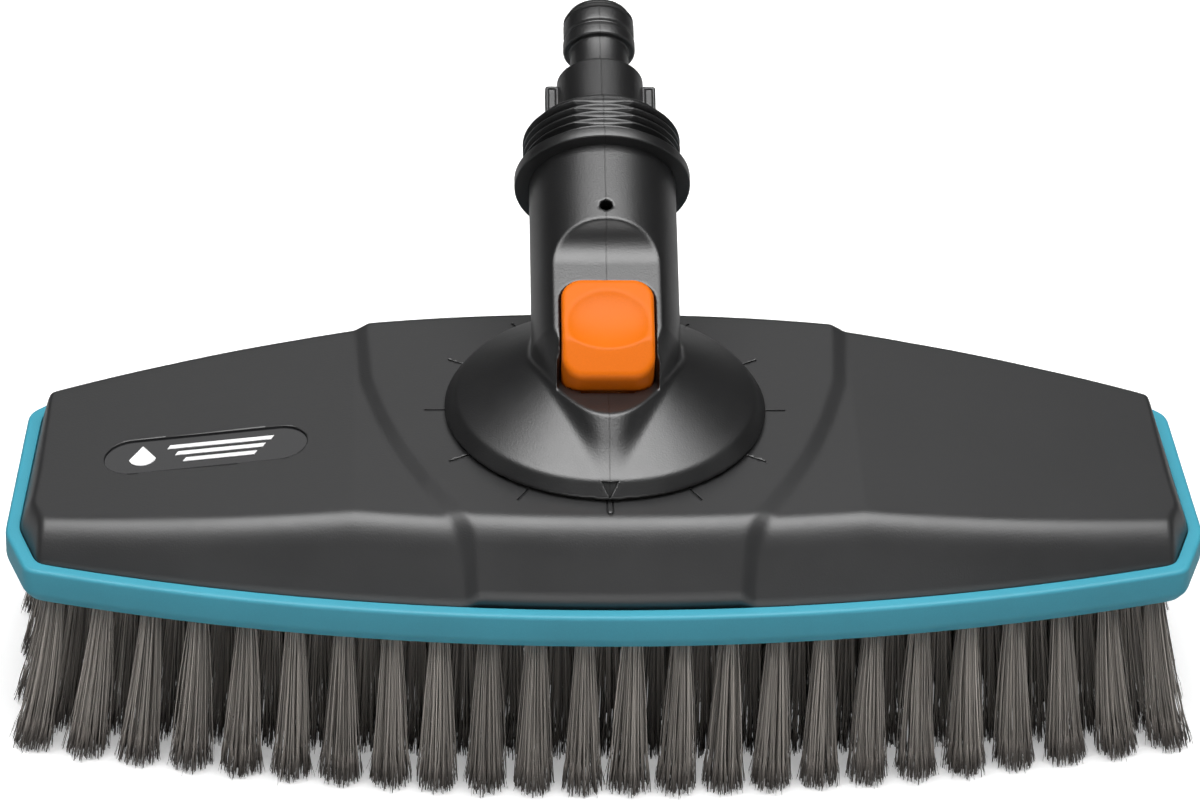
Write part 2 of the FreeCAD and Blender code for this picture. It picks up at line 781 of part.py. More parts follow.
def screw_solid(x, y, head_low, upwards=True):
    """A pan-head screw whose head starts at the given level."""
    sign = 1 if upwards else -1
    axis = Vector(0, 0, sign)
    head = Part.makeCylinder(S.screw_head.value, S.screw_head_height.value, Vector(x, y, head_low), axis)
    slot_size = S.screw_head.value
    slot = Part.makeBox(slot_size, 0.7, 1.0, Vector(x - slot_size / 2, y - 0.35, head_low - 0.5))
    cross = Part.makeBox(0.7, slot_size, 1.0, Vector(x - 0.35, y - slot_size / 2, head_low - 0.5))
    shank_low = head_low + sign * S.screw_head_height.value
    shank = Part.makeCylinder(S.screw_shank.value, S.screw_grip.value, Vector(x, y, shank_low), axis)
    return head.fuse(shank).cut(slot).cut(cross).removeSplitter()


def screws(label, places, head_low):
    solids = doc.addObject("Part::Feature", "".join(word.title() for word in label.split("_")))
    solids.Shape = Part.makeCompound([screw_solid(x, y, head_low.value) for x, y in places])
    return node(label, solids)


def cover_with_bosses(cover):
    """Add the bosses that the plate screws bite into."""
    places = plate_screw_places()
    low, high = plate_top + S.fit_gap, side_top + 1
    columns = drilled("CoverBossColumns", places, S.boss_radius, low, high)
    bosses = common("CoverBosses", [columns, roof("CoverBossRoof", S.cover_wall / 2)])
    pilots = drilled("CoverBossPilots", places, S.screw_shank, low - 1,
                     plate_under + S.screw_head_height + S.screw_grip + 0.5)
    solid = cut("CoverSolid", fuse("CoverWithBosses", [cover, bosses]), pilots)
    return node("top_cover", solid)


# ---------------------------------------------------------------- water distributor

CHANNEL_HALF_LENGTH = S.tuft_pitch * 8.3
SPIGOT_RADIUS = S.pipe_radius + 1
HUB_RADIUS = SPIGOT_RADIUS + 3
channel_under = plate_top + S.gasket_height
channel_top = channel_under + S.channel_height + S.channel_wall
hub_top = retainer_under - 3
spigot_under = channel_under + 1


def flat_block(name, half_x, half_y, low, high):
    return block(name, (-half_x, -half_y, low), (half_x, half_y, high))


def make_water_distributor():
    side = S.channel_wall + S.channel_foot
    foot = flat_block("DistributorFoot", CHANNEL_HALF_LENGTH + side, S.channel_half_width + side,
                      channel_under, channel_under + S.channel_wall)
    case = flat_block("DistributorCase", CHANNEL_HALF_LENGTH + S.channel_wall,
                      S.channel_half_width + S.channel_wall, channel_under, channel_top)
    hub = place(cylinder("DistributorHub", HUB_RADIUS, hub_top - channel_under), z=channel_under)
    channel = flat_block("DistributorChannel", CHANNEL_HALF_LENGTH, S.channel_half_width,
                         channel_under - 1, channel_under + S.channel_height)
    bore = place(cylinder("DistributorBore", SPIGOT_RADIUS + S.run_gap, hub_top), z=channel_under - 1)
    node("water_distributor", cut("DistributorSolid", fuse("DistributorBody", [foot, case, hub]),
                                  fuse("DistributorHollow", [channel, bore])))
    outer = flat_block("GasketOuter", CHANNEL_HALF_LENGTH + side, S.channel_half_width + side,
                       plate_top, channel_under)
    inner = flat_block("GasketInner", CHANNEL_HALF_LENGTH, S.channel_half_width, plate_top - 1,
                       channel_under + 1)
    node("distributor_gasket", cut("GasketSolid", outer, inner))


# ---------------------------------------------------------------- swivel housing

TOOTH_HALF_WIDTH = as_size(1.7)
TOOTH_GAP = as_size(0.3)
NOTCH_REACH = as_size(3)
WELL_RADIUS = S.collar_radius - S.collar_wall
WELL_RISE = as_size(2.5)
SHAFT_HALF_WIDTH = S.pipe_radius + 0.5
SLOT_DEPTH = as_size(2)
END_WALL = as_size(3)
VENT_RADIUS = as_size(1.5)
VENT_PLACE = as_size(20.1)
dome_low = plateau_top + S.disc_height
shelf_level = plateau_top + S.shelf_rise


def make_thread_collar():
    """Flange and threaded collar, turned round the neck's axis; the crests are plain rings."""
    crest = S.thread_radius
    valley = S.thread_radius - S.thread_depth
    profile = [(ZERO, -S.flange_under), (S.flange_radius, -S.flange_under),
               (S.flange_radius, S.flange_height)]
    height = S.flange_height
    profile.append((valley, height))
    crest_flat = S.thread_pitch * 0.12
    for index in range(5):
        start = S.flange_height + S.thread_pitch * index + S.thread_pitch * 0.35
        profile += [(valley, start), (crest, start + S.thread_pitch * 0.28),
                    (crest, start + S.thread_pitch * 0.28 + crest_flat),
                    (valley, start + S.thread_pitch * 0.56 + crest_flat)]
    end = S.flange_height + S.thread_length
    profile += [(valley, end - 0.8), (valley - 0.8, end), (ZERO, end)]
    collar = place_on_neck(turned("ThreadCollar", profile))
    wide = S.flange_radius + 1
    start = S.flange_height + 0.1
    flats = []
    for name, low, high in (("ThreadFlatTop", -wide, -S.thread_flat), ("ThreadFlatUnder", S.thread_flat, wide)):
        flat = doc.addObject("Part::Box", name)
        bind(flat, "Length", wide * 2)
        bind(flat, "Width", high - low)
        bind(flat, "Height", S.thread_length - 0.9)
        flats.append(place_on_neck(flat, -wide, low, start))
    return cut("ThreadCollarFlats", collar, fuse("ThreadFlats", flats))


def make_nose():
    """The neck's front, narrowing to the disc's edge."""
    body = new_body("Nose")
    wide = sketch_on(body, "NoseWide", "XY_Plane")
    draw_circle(wide, 0, 0, S.neck_radius)
    narrow = sketch_on(body, "NoseNarrow", "XY_Plane", S.neck_start - S.nose_end)
    draw_circle(narrow, 0, S.nose_end_drop, S.nose_end_radius)
    loft(body, "NoseLoft", [wide, narrow])
    return place_on_neck(body, z=-S.neck_start)


def make_pointer():
    """The triangle sunk into the front of the disc's bevelled edge, pointing at the swivel's scale."""
    body = new_body("PointerTool")
    sketch = sketch_on(body, "PointerPlan", "XZ_Plane")
    half = S.disc_height * 0.42
    draw_outline(sketch, [(ZERO, disc_under + 0.5), (half, dome_low - 0.3), (-half, dome_low - 0.3)])
    pad(body, sketch, S.disc_radius + 2)
    keep = place(cone("PointerFloor", S.disc_radius - 0.5, S.disc_radius - S.disc_bevel - 0.5,
                      dome_low - disc_under), z=disc_under)
    return cut("Pointer", body, keep)


def button_outline(sketch, spare):
    """The button's plan in the neck's XZ plane, grown by the spare all round."""
    half = S.button_width / 2 + spare
    low = -S.button_front - spare
    high = -S.button_back + spare
    bend = S.button_corner + spare
    draw_outline(sketch, [(-half + bend, low), (half - bend, low), (half, low + bend), (half, high - bend),
                          (half - bend, high), (-half + bend, high), (-half, high - bend), (-half, low + bend)],
                 {1: bend, 3: bend, 5: bend, 7: bend})


def make_button_slot():
    body = new_body("ButtonSlot")
    sketch = sketch_on(body, "ButtonSlotPlan", "XZ_Plane", -SLOT_DEPTH)
    button_outline(sketch, S.button_gap)
    pad(body, sketch, S.neck_radius + SLOT_DEPTH + 2)
    return place_on_neck(body)


def make_recess_tool():
    """What is taken off the neck's top: a level floor along the neck, scooped at its upper end."""
    body = new_body("RecessTool")
    sketch = sketch_on(body, "RecessProfile", "YZ_Plane")
    floor = -S.floor_level
    top = -S.neck_radius - 8
    foot = -S.scoop_place
    scoop_end = foot + S.scoop_radius
    front = -S.nose_end - 10
    draw_outline(sketch, [(floor, front), (floor, foot), (floor - S.scoop_radius, scoop_end),
                          (top - 6, scoop_end), (top - 6, front)],
                 {1: S.scoop_radius})
    pad(body, sketch, S.neck_radius * 3, both_ways=True)
    return place_on_neck(body)


def make_swivel_housing():
    bevel = place(cone("DiscBevel", S.disc_radius, S.disc_radius - S.disc_bevel, dome_low - disc_under),
                  z=disc_under)
    dome_top_radius = S.pipe_radius
    dome_base = S.disc_radius - S.disc_bevel
    dome = place(cone("Dome", dome_base, dome_top_radius,
                      (dome_base - dome_top_radius) * tangent(S.dome_slope)), z=dome_low)
    collar = place(cylinder("Collar", S.collar_radius, disc_under - retainer_top + 1), z=retainer_top)
    tube = place_on_neck(cylinder("NeckTube", S.neck_radius, S.neck_start + 0.5), z=-S.neck_start)
    outside = fuse("HousingOutside", [bevel, dome, collar, tube, make_nose(), make_thread_collar()])

    shelf = block("RecessShelf", (-S.neck_radius - 2, -S.disc_radius, shelf_level),
                  (S.neck_radius + 2, -S.button_front * 0.18, shelf_level + 20))
    cavity_end = S.thread_length + S.flange_height - END_WALL
    bore = place_on_neck(cylinder("NeckBore", S.neck_bore, S.bore_step + cavity_end), z=-S.bore_step)
    lower_bore = place_on_neck(cylinder("PipeBore", S.pipe_bore, S.neck_start - S.bore_step + 1),
                               z=-S.neck_start)
    mouth = place_on_neck(cylinder("NeckMouth", S.base_radius + S.fit_gap / 2, END_WALL + 2), z=cavity_end - 1)
    well = place(cylinder("CollarWell", WELL_RADIUS, plateau_top + WELL_RISE - retainer_top + 1),
                 z=retainer_top - 1)
    shaft = block("PipeShaft", (-SHAFT_HALF_WIDTH, -S.pipe_radius - 9, plateau_top),
                  (SHAFT_HALF_WIDTH, S.pipe_radius + 1, plateau_top + 15))
    window = block("ToothWindow", (-TOOTH_HALF_WIDTH - TOOTH_GAP, -S.collar_radius - 1, retainer_top - 1),
                   (TOOTH_HALF_WIDTH + TOOTH_GAP, -WELL_RADIUS + 2, cover_inside + 0.3))
    vent_point = neck_point(ZERO, -S.neck_bore + 1, -VENT_PLACE)
    vent = cylinder("VentHole", VENT_RADIUS, 6)
    place(vent, *vent_point)
    vent.Placement = Placement(vent.Placement.Base, Rotation(Vector(1, 0, 0), S.neck_tilt.value))
    bind(vent, "Placement.Rotation.Angle", S.neck_tilt)
    pilots = drilled("CollarPilots", retainer_screw_places(), S.screw_shank, retainer_top - 1,
                     retainer_under + S.screw_grip + 0.5)
    underside = place(ring("NoseUnderside", S.collar_radius, S.disc_radius + 2, disc_under - retainer_top + 1),
                      z=retainer_top - 1)
    inside = fuse("HousingInside", [make_recess_tool(), make_pointer(), shelf, make_button_slot(), bore,
                                    lower_bore, mouth, well, shaft, window, vent, pilots, underside])
    return node("swivel_housing", cut("HousingSolid", outside, inside))


# ---------------------------------------------------------------- what holds and indexes the swivel

RETAINER_REACH = as_size(5)


def retainer_screw_places():
    radius = S.collar_radius.value - S.collar_wall.value / 2
    return [(radius * math.cos(math.radians(turn)), radius * math.sin(math.radians(turn)))
            for turn in (0, 60, 120, 180, 240, 300)]


def make_swivel_washer():
    body = ring("SwivelWasher", S.collar_radius + 1, S.disc_radius - S.disc_bevel, S.washer_height - S.run_gap)
    return node("swivel_washer", place(body, z=plateau_top))


def make_detent_ring():
    inner = S.collar_radius + S.run_gap * 2
    body = ring("DetentRing", inner, inner + NOTCH_REACH * 2, S.detent_height)
    sketch = sketch_on(body, "DetentNotch", "XY_Plane", S.detent_height)
    half = TOOTH_HALF_WIDTH + TOOTH_GAP
    draw_outline(sketch, [(-half, -inner - NOTCH_REACH), (half, -inner - NOTCH_REACH),
                          (half, -inner + 1.5), (-half, -inner + 1.5)])
    notch = pocket(body, sketch, S.detent_height + 1)
    polar(body, notch, TICK_COUNT)
    return node("detent_ring", place(body, z=detent_under))


def make_swivel_retainer():
    body = ring("SwivelRetainer", WELL_RADIUS, S.collar_radius + RETAINER_REACH, S.retainer_height)
    sketch = sketch_on(body, "RetainerSlot", "XY_Plane", S.retainer_height)
    half = TOOTH_HALF_WIDTH + TOOTH_GAP
    reach = S.collar_radius + RETAINER_REACH + 1
    draw_outline(sketch, [(-half, -reach), (half, -reach), (half, -WELL_RADIUS + 2), (-half, -WELL_RADIUS + 2)])
    pocket(body, sketch, S.retainer_height + 1)
    place(body, z=retainer_under)
    holes = drilled("RetainerHoles", retainer_screw_places(), S.screw_shank + S.fit_gap,
                    retainer_under - 1, retainer_top + 1)
    node("swivel_retainer", cut("SwivelRetainerSolid", body, holes))
    screws("retainer_screws", retainer_screw_places(), retainer_under - S.screw_head_height)


# ---------------------------------------------------------------- waterway

NIPPLE_FOOT = as_size(2.8)
NIPPLE_FOOT_RADIUS = S.neck_bore - 0.4
SEAL_THICKNESS = as_size(1.2)
CLIP_HEIGHT = as_size(1.6)
nipple_seat = S.flange_height + S.thread_length - END_WALL
foot_high = nipple_seat - SEAL_THICKNESS
foot_low = foot_high - NIPPLE_FOOT
SPIGOT_SEAL = as_size(1.1)


def axis_crossing():
    """How far from the flange, along the neck, its axis crosses the swivel's axis."""
    return S.flange_back / cosine(S.neck_tilt)


def make_water_elbow():
    """Pipe along the neck, turned down into a spigot on the swivel axis."""
    crossing = axis_crossing()
    centre = plateau_top + S.flange_rise - crossing * sine(S.neck_tilt)
    shoulder = retainer_top
    length = crossing + foot_low
    spigot_seal_level = hub_top - 4

    def run(name, radius, spigot_radius, start):
        along = place_on_neck(cylinder(name + "Along", radius, length + start), z=-crossing)
        knee = doc.addObject("Part::Sphere", name + "Knee")
        bind(knee, "Radius", radius)
        place(knee, z=centre)
        down = place(cylinder(name + "Down", radius, centre - spigot_under + start), z=spigot_under - start)
        parts = [along, knee, down]
        if spigot_radius is not None:
            parts.append(place(cylinder(name + "Spigot", spigot_radius, shoulder - spigot_under),
                               z=spigot_under))
        return fuse(name, parts)

    outside = run("PipeOutside", S.pipe_radius, SPIGOT_RADIUS, ZERO)
    inside = run("PipeInside", S.water_bore, None, as_size(1))
    groove = place(torus("SpigotGroove", SPIGOT_RADIUS - SPIGOT_SEAL * 0.9, SPIGOT_SEAL), z=spigot_seal_level)
    node("water_elbow", cut("ElbowSolid", outside, fuse("ElbowCuts", [inside, groove])))
    seal = place(torus("SpigotSeal", SPIGOT_RADIUS - SPIGOT_SEAL * 0.9, SPIGOT_SEAL * 0.9), z=spigot_seal_level)
    node("spigot_seal", seal)




def make_hose_nipple():
    waist = S.base_end + S.collar_place
    step = waist + S.collar_length
    ring_end = step + S.seal_ring_length
    seal_end = ring_end + S.seal_thickness * 2
    end = S.nipple_end
    outline = [(S.water_bore, foot_low), (NIPPLE_FOOT_RADIUS, foot_low), (NIPPLE_FOOT_RADIUS, foot_high),
               (S.base_radius, foot_high), (S.base_radius, S.base_end - 0.8),
               (S.base_radius - 0.8, S.base_end), (S.groove_radius, S.base_end),
               (S.groove_radius, waist), (S.locking_radius - 0.4, waist), (S.locking_radius, waist + 0.6),
               (S.locking_radius, step - 0.6), (S.locking_radius - 0.7, step),
               (S.seal_ring_radius, step + 0.6), (S.seal_ring_radius, ring_end),
               (S.seal_groove_radius, ring_end), (S.seal_groove_radius, seal_end),
               (S.seal_ring_radius - 0.5, seal_end),
               (S.tip_radius, end), (S.water_bore, end)]
    stem = place_on_neck(turned("NippleStem", outline))
    collar_end = S.flange_height + S.thread_length + S.fit_gap
    lugs = []
    for name, side in (("LugLeft", -1), ("LugRight", 1)):
        near = S.base_radius - 0.6
        far = S.base_radius + S.lug_reach
        low_x = near if side > 0 else -far
        lug = doc.addObject("Part::Box", name)
        bind(lug, "Length", far - near)
        bind(lug, "Width", S.lug_width)
        bind(lug, "Height", S.lug_end - collar_end)
        lugs.append(place_on_neck(lug, low_x, -S.lug_width / 2, collar_end))
    node("hose_nipple", fuse("NippleSolid", [stem] + lugs))
    seal_level = ring_end + (seal_end - ring_end) / 2
    node("nipple_seal", place_on_neck(torus("NippleSeal", S.seal_groove_radius + S.seal_thickness,
                                            S.seal_thickness * 0.98),
                                      z=seal_level))
    seat = ring("NippleSeat", S.base_radius + 0.3, NIPPLE_FOOT_RADIUS, SEAL_THICKNESS)
    node("nipple_seat_washer", place_on_neck(seat, z=foot_high))
    clip = ring("NippleClip", S.pipe_radius + 2, S.neck_bore - 0.05, CLIP_HEIGHT)
    node("nipple_clip", place_on_neck(clip, z=foot_low - CLIP_HEIGHT))


# ---------------------------------------------------------------- release button

DISH_RADIUS = as_size(19)
DISH_DEPTH = as_size(1.6)
TOOTH_HEIGHT = as_size(2.2)
BUTTON_SKIRT = as_size(1.8)
SKIRT_WALL = as_size(3.5)
STEM_HALF_WIDTH = as_size(4)
STEM_THICKNESS = as_size(3)
SPRING_OFFSET = as_size(9)
SPRING_RADIUS = as_size(1.8)
SPRING_WIRE = as_size(0.35)


def make_release_button():
    body = new_body("ReleaseButton")
    sketch = sketch_on(body, "ButtonPlan", "XZ_Plane", BUTTON_SKIRT)
    button_outline(sketch, ZERO)
    pad(body, sketch, S.button_top - BUTTON_SKIRT)
    # the cap is thin, and only its lower end reaches down behind the shelf
    under = sketch_on(body, "ButtonUnder", "XZ_Plane", BUTTON_SKIRT)
    reach = S.button_width
    wall = SKIRT_WALL - S.button_front
    back = -S.button_back + 5
    draw_outline(under, [(-reach, wall), (reach, wall), (reach, back), (-reach, back)])
    pocket(body, under, S.button_under - BUTTON_SKIRT, downwards=False)
    bevel = sketch_on(body, "ButtonBevel", "YZ_Plane")
    run = S.button_front - S.button_break + 2
    top = -S.button_top
    draw_outline(bevel, [(top, -S.button_break), (top - 3, -S.button_break), (top - 3, -S.button_break - run),
                         (top + run * tangent(S.button_slope), -S.button_break - run)])
    pocket(body, bevel, S.button_width * 2, both_ways=True)
    place_on_neck(body)
    middle = -(S.button_back + S.button_front) / 2
    dish = doc.addObject("Part::Sphere", "ButtonDish")
    bind(dish, "Radius", DISH_RADIUS)
    place_on_neck(dish, 0, -S.button_top - DISH_RADIUS + DISH_DEPTH, middle + 2)
    node("release_button", cut("ButtonSolid", body, dish))


def make_lock_pawl():
    """Stem under the button's lower end, an arm forward and a tooth in the detent ring."""
    tooth_low = detent_under + (S.detent_height - TOOTH_HEIGHT) / 2
    tooth_high = tooth_low + TOOTH_HEIGHT
    reach = S.collar_radius + NOTCH_REACH - TOOTH_GAP
    stem_back = S.pipe_radius + 4.5
    stem_front = stem_back + STEM_THICKNESS
    arm = block("PawlArm", (-TOOTH_HALF_WIDTH, -reach, tooth_low), (TOOTH_HALF_WIDTH, -stem_back, tooth_high))
    stem = block("PawlStem", (-STEM_HALF_WIDTH, -stem_front, tooth_low),
                 (STEM_HALF_WIDTH, -stem_back, plateau_top + 30))
    above = doc.addObject("Part::Box", "AbovePawl")
    bind(above, "Length", STEM_HALF_WIDTH * 4)
    bind(above, "Width", 40)
    bind(above, "Height", S.nose_end)
    place_on_neck(above, -STEM_HALF_WIDTH * 2, -BUTTON_SKIRT - 40, -S.nose_end)
    node("lock_pawl", cut("PawlSolid", fuse("PawlBody", [arm, stem]), above))


def make_button_springs():
    """Two coils between the slot's floor and the button's underside."""
    low, high = -SLOT_DEPTH, S.button_under
    length = high - low - SPRING_WIRE * 2
    coils = []
    for name, side in (("SpringLeft", -1), ("SpringRight", 1)):
        helix = doc.addObject("Part::Helix", name + "Path")
        bind(helix, "Radius", SPRING_RADIUS)
        bind(helix, "Pitch", length / 6)
        bind(helix, "Height", length)
        wire = doc.addObject("Part::Circle", name + "Wire")
        bind(wire, "Radius", SPRING_WIRE)
        wire.Placement = Placement(Vector(SPRING_RADIUS.value, 0, 0), Rotation(Vector(1, 0, 0), 90))
        bind(wire, "Placement.Base.x", SPRING_RADIUS)
        coil = doc.addObject("Part::Sweep", name)
        coil.Sections = [wire]
        coil.Spine = (helix, ["Edge1"])
        coil.Solid = True
        coil.Frenet = True
        x, y, z = neck_point(SPRING_OFFSET * side, -low - SPRING_WIRE, -axis_crossing())
        place(coil, x, y, z)
        coil.Placement = Placement(coil.Placement.Base, Rotation(Vector(1, 0, 0), S.neck_tilt.value))
        bind(coil, "Placement.Rotation.Angle", S.neck_tilt)
        coils.append(coil)
    node("button_springs", group("ButtonSprings", coils))


# ---------------------------------------------------------------- build, check and write

def build():
    make_bumper_frame()
    cover_with_bosses(make_top_cover())
    make_badge()
    make_brush_plate()
    make_tufts()
    screws("plate_screws", plate_screw_places(), plate_under)
    make_water_distributor()
    make_swivel_housing()
    make_swivel_washer()
    make_detent_ring()
    make_swivel_retainer()
    make_water_elbow()
    make_hose_nipple()
    make_release_button()
    make_lock_pawl()
    make_button_springs()
    doc.recompute()


def check():
    """Stop if any object failed, or any sub-part is empty or not valid."""
    for thing in doc.Objects:
        if "Invalid" in thing.State or "Error" in thing.State:
            raise RuntimeError("%s failed: %s" % (thing.Name, thing.State))
    for label, thing in NODES.items():
        shape = thing.Shape
        if shape.isNull() or not shape.isValid() or not shape.Solids:
            raise RuntimeError("%s has no valid solid" % label)


def write():
    os.makedirs("parts", exist_ok=True)
    for label, thing in NODES.items():
        thing.Shape.exportStep("parts/%s.step" % label)


build()
check()
write()
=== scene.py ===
"""Looks of the flow-through wash brush head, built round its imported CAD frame.

Sizes below are in millimetres and are scaled to metres when a mesh is made.
"""
import math

import bpy
import numpy as np
from mathutils import Matrix, Vector


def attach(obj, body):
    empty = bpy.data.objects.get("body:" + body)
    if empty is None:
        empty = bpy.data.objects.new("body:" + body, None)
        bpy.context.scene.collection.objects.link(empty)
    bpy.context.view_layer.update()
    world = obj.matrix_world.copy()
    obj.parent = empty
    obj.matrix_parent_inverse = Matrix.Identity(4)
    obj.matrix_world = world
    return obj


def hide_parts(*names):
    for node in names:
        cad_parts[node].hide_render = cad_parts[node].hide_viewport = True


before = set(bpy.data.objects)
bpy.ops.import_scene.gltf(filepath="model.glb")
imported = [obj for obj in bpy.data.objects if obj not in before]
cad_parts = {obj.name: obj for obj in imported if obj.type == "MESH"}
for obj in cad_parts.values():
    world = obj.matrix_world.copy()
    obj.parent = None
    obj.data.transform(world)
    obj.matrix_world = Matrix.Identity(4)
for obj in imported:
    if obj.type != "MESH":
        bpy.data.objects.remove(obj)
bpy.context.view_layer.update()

MM = 0.001
HEAD = "brush_head"
NECK = "swivel_neck"
BUTTON = "release_button"

# levels above the bristle tips
FRAME_TOP = 55.0
PLATE_UNDER = 46.0
SIDE_TOP = 72.1
PLATEAU_TOP = 73.6
DISC_UNDER = 74.4
DOME_LOW = 78.3
SHELF_LEVEL = 88.9

# plan of the head
HALF_LENGTH = 145.0
FRONT_REACH = 60.3
BACK_REACH = 56.0
FRONT_BOW = 510.0
BACK_BOW = 400.0
FRONT_CORNER = 5.5
BACK_CORNER = 12.0
END_TAPER = 3.5
END_FRONT = 25.0
END_BACK = 26.0
COVER_INSET = 3.6
FACE_RISE = math.tan(math.radians(60.0))
ROOF_SLOPE = math.radians(7.0)
ROOF_FALL = math.tan(ROOF_SLOPE)
ROOF_KINK = 61.0
END_STEEPNESS = 2.2
COVER_WALL = 2.4

# badge recess
BADGE_PLACE = 96.9
BADGE_FRONT = 8.7
BADGE_HALF_LENGTH = 24.8
BADGE_HALF_WIDTH = 7.0
BADGE_DEPTH = 0.9

# swivel disc, its dome and the collar under it
DISC_RADIUS = 39.3
DISC_BEVEL = 2.7
DISC_HEIGHT = 3.9
DOME_RADIUS = 36.6
DOME_SLOPE = math.radians(28.4)
COLLAR_RADIUS = 25.0
WELL_RADIUS = 21.0
WELL_TOP = 76.1

# the neck's axis
TILT = math.radians(22.0)
FLANGE_Y = 48.9
FLANGE_Z = PLATEAU_TOP + 35.0
TUBE_RADIUS = 18.5
TUBE_END = 52.0
NOSE_LENGTH = 36.0
NOSE_TAPER = 13.5
RECESS_LEVEL = 12.6
RECESS_END = 22.5
SCOOP_RADIUS = 11.5
SHELF_BACK = 9.5
SHELF_HALF_WIDTH = 12.2
SLOT_FLOOR = -2.0
NECK_BORE = 15.2
BORE_STEP = 20.0
PIPE_BORE = 10.6
VENT_PLACE = 20.1
VENT_RADIUS = 1.5

# flange and thread, turned round the neck's axis
FLANGE_RADIUS = 21.7
FLANGE_LOW = -2.0
FLANGE_HIGH = 0.9
THREAD_CREST = 19.5
THREAD_VALLEY = 18.0
THREAD_FLAT = 18.15
THREAD_PITCH = 2.2
THREAD_END = 13.9
MOUTH_RADIUS = 10.9
MOUTH_FLOOR = 10.9

# thumb button
BUTTON_TOP = 14.6
BUTTON_MIDDLE = 52.5
BUTTON_HALF_WIDTH = 11.2
BUTTON_HALF_LENGTH = 13.1
BUTTON_BEND = 5.2
BUTTON_GAP = 0.35
DISH_MIDDLE = 52.2
DISH_LEVEL = 16.6
DISH_RADII = (11.65, 10.9, 3.9)
HOLLOW_TOP = 9.9
HOLLOW_HALF_WIDTH = 9.8
HOLLOW_FRONT = 62.5
HOLLOW_BACK = 44.1
HOLLOW_WALL_END = 54.0


# ---------------------------------------------------------------- meshes

def make_object(name, points, faces, body, material, replaced=()):
    """A smooth-shaded piece from points in millimetres and lists of faces of one size each."""
    mesh = bpy.data.meshes.new(name)
    points = np.asarray(points, dtype=np.float64) * MM
    groups = [np.asarray(f, dtype=np.int32) for f in faces if len(f)]
    loops = np.concatenate([g.ravel() for g in groups])
    totals = np.concatenate([np.full(len(g), g.shape[1], dtype=np.int32) for g in groups])
    starts = np.concatenate([[0], np.cumsum(totals)[:-1]]).astype(np.int32)
    mesh.vertices.add(len(points))
    mesh.vertices.foreach_set("co", points.ravel())
    mesh.loops.add(len(loops))
    mesh.loops.foreach_set("vertex_index", loops)
    mesh.polygons.add(len(totals))
    mesh.polygons.foreach_set("loop_start", starts)
    mesh.polygons.foreach_set("loop_total", totals)
    mesh.polygons.foreach_set("use_smooth", np.ones(len(totals), dtype=bool))
    mesh.update(calc_edges=True)
    mesh.validate()
    piece = bpy.data.objects.new(name, mesh)
    bpy.context.collection.objects.link(piece)
    mesh.materials.append(material)
    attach(piece, body)
    if replaced:
        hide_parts(*replaced)
    return piece


def join_parts(parts):
    """Several (points, faces) sets as one."""
    points, quads, offset = [], [], 0
    for part_points, part_quads in parts:
        points.append(np.asarray(part_points, dtype=np.float64))
        quads.append(np.asarray(part_quads, dtype=np.int32) + offset)
        offset += len(part_points)
    return np.concatenate(points), np.concatenate(quads)


def grid_faces(rows, columns, wrap_rows=False, wrap_columns=False, flip=False):
    """Quads of a grid of points stored row by row."""
    i = np.arange(rows if wrap_rows else rows - 1)
    j = np.arange(columns if wrap_columns else columns - 1)
    i, j = np.meshgrid(i, j, indexing="ij")
    i, j = i.ravel(), j.ravel()
    i2, j2 = (i + 1) % rows, (j + 1) % columns
    quads = np.stack([i * columns + j, i * columns + j2, i2 * columns + j2, i2 * columns + j], axis=1)
    return quads[:, ::-1] if flip else quads


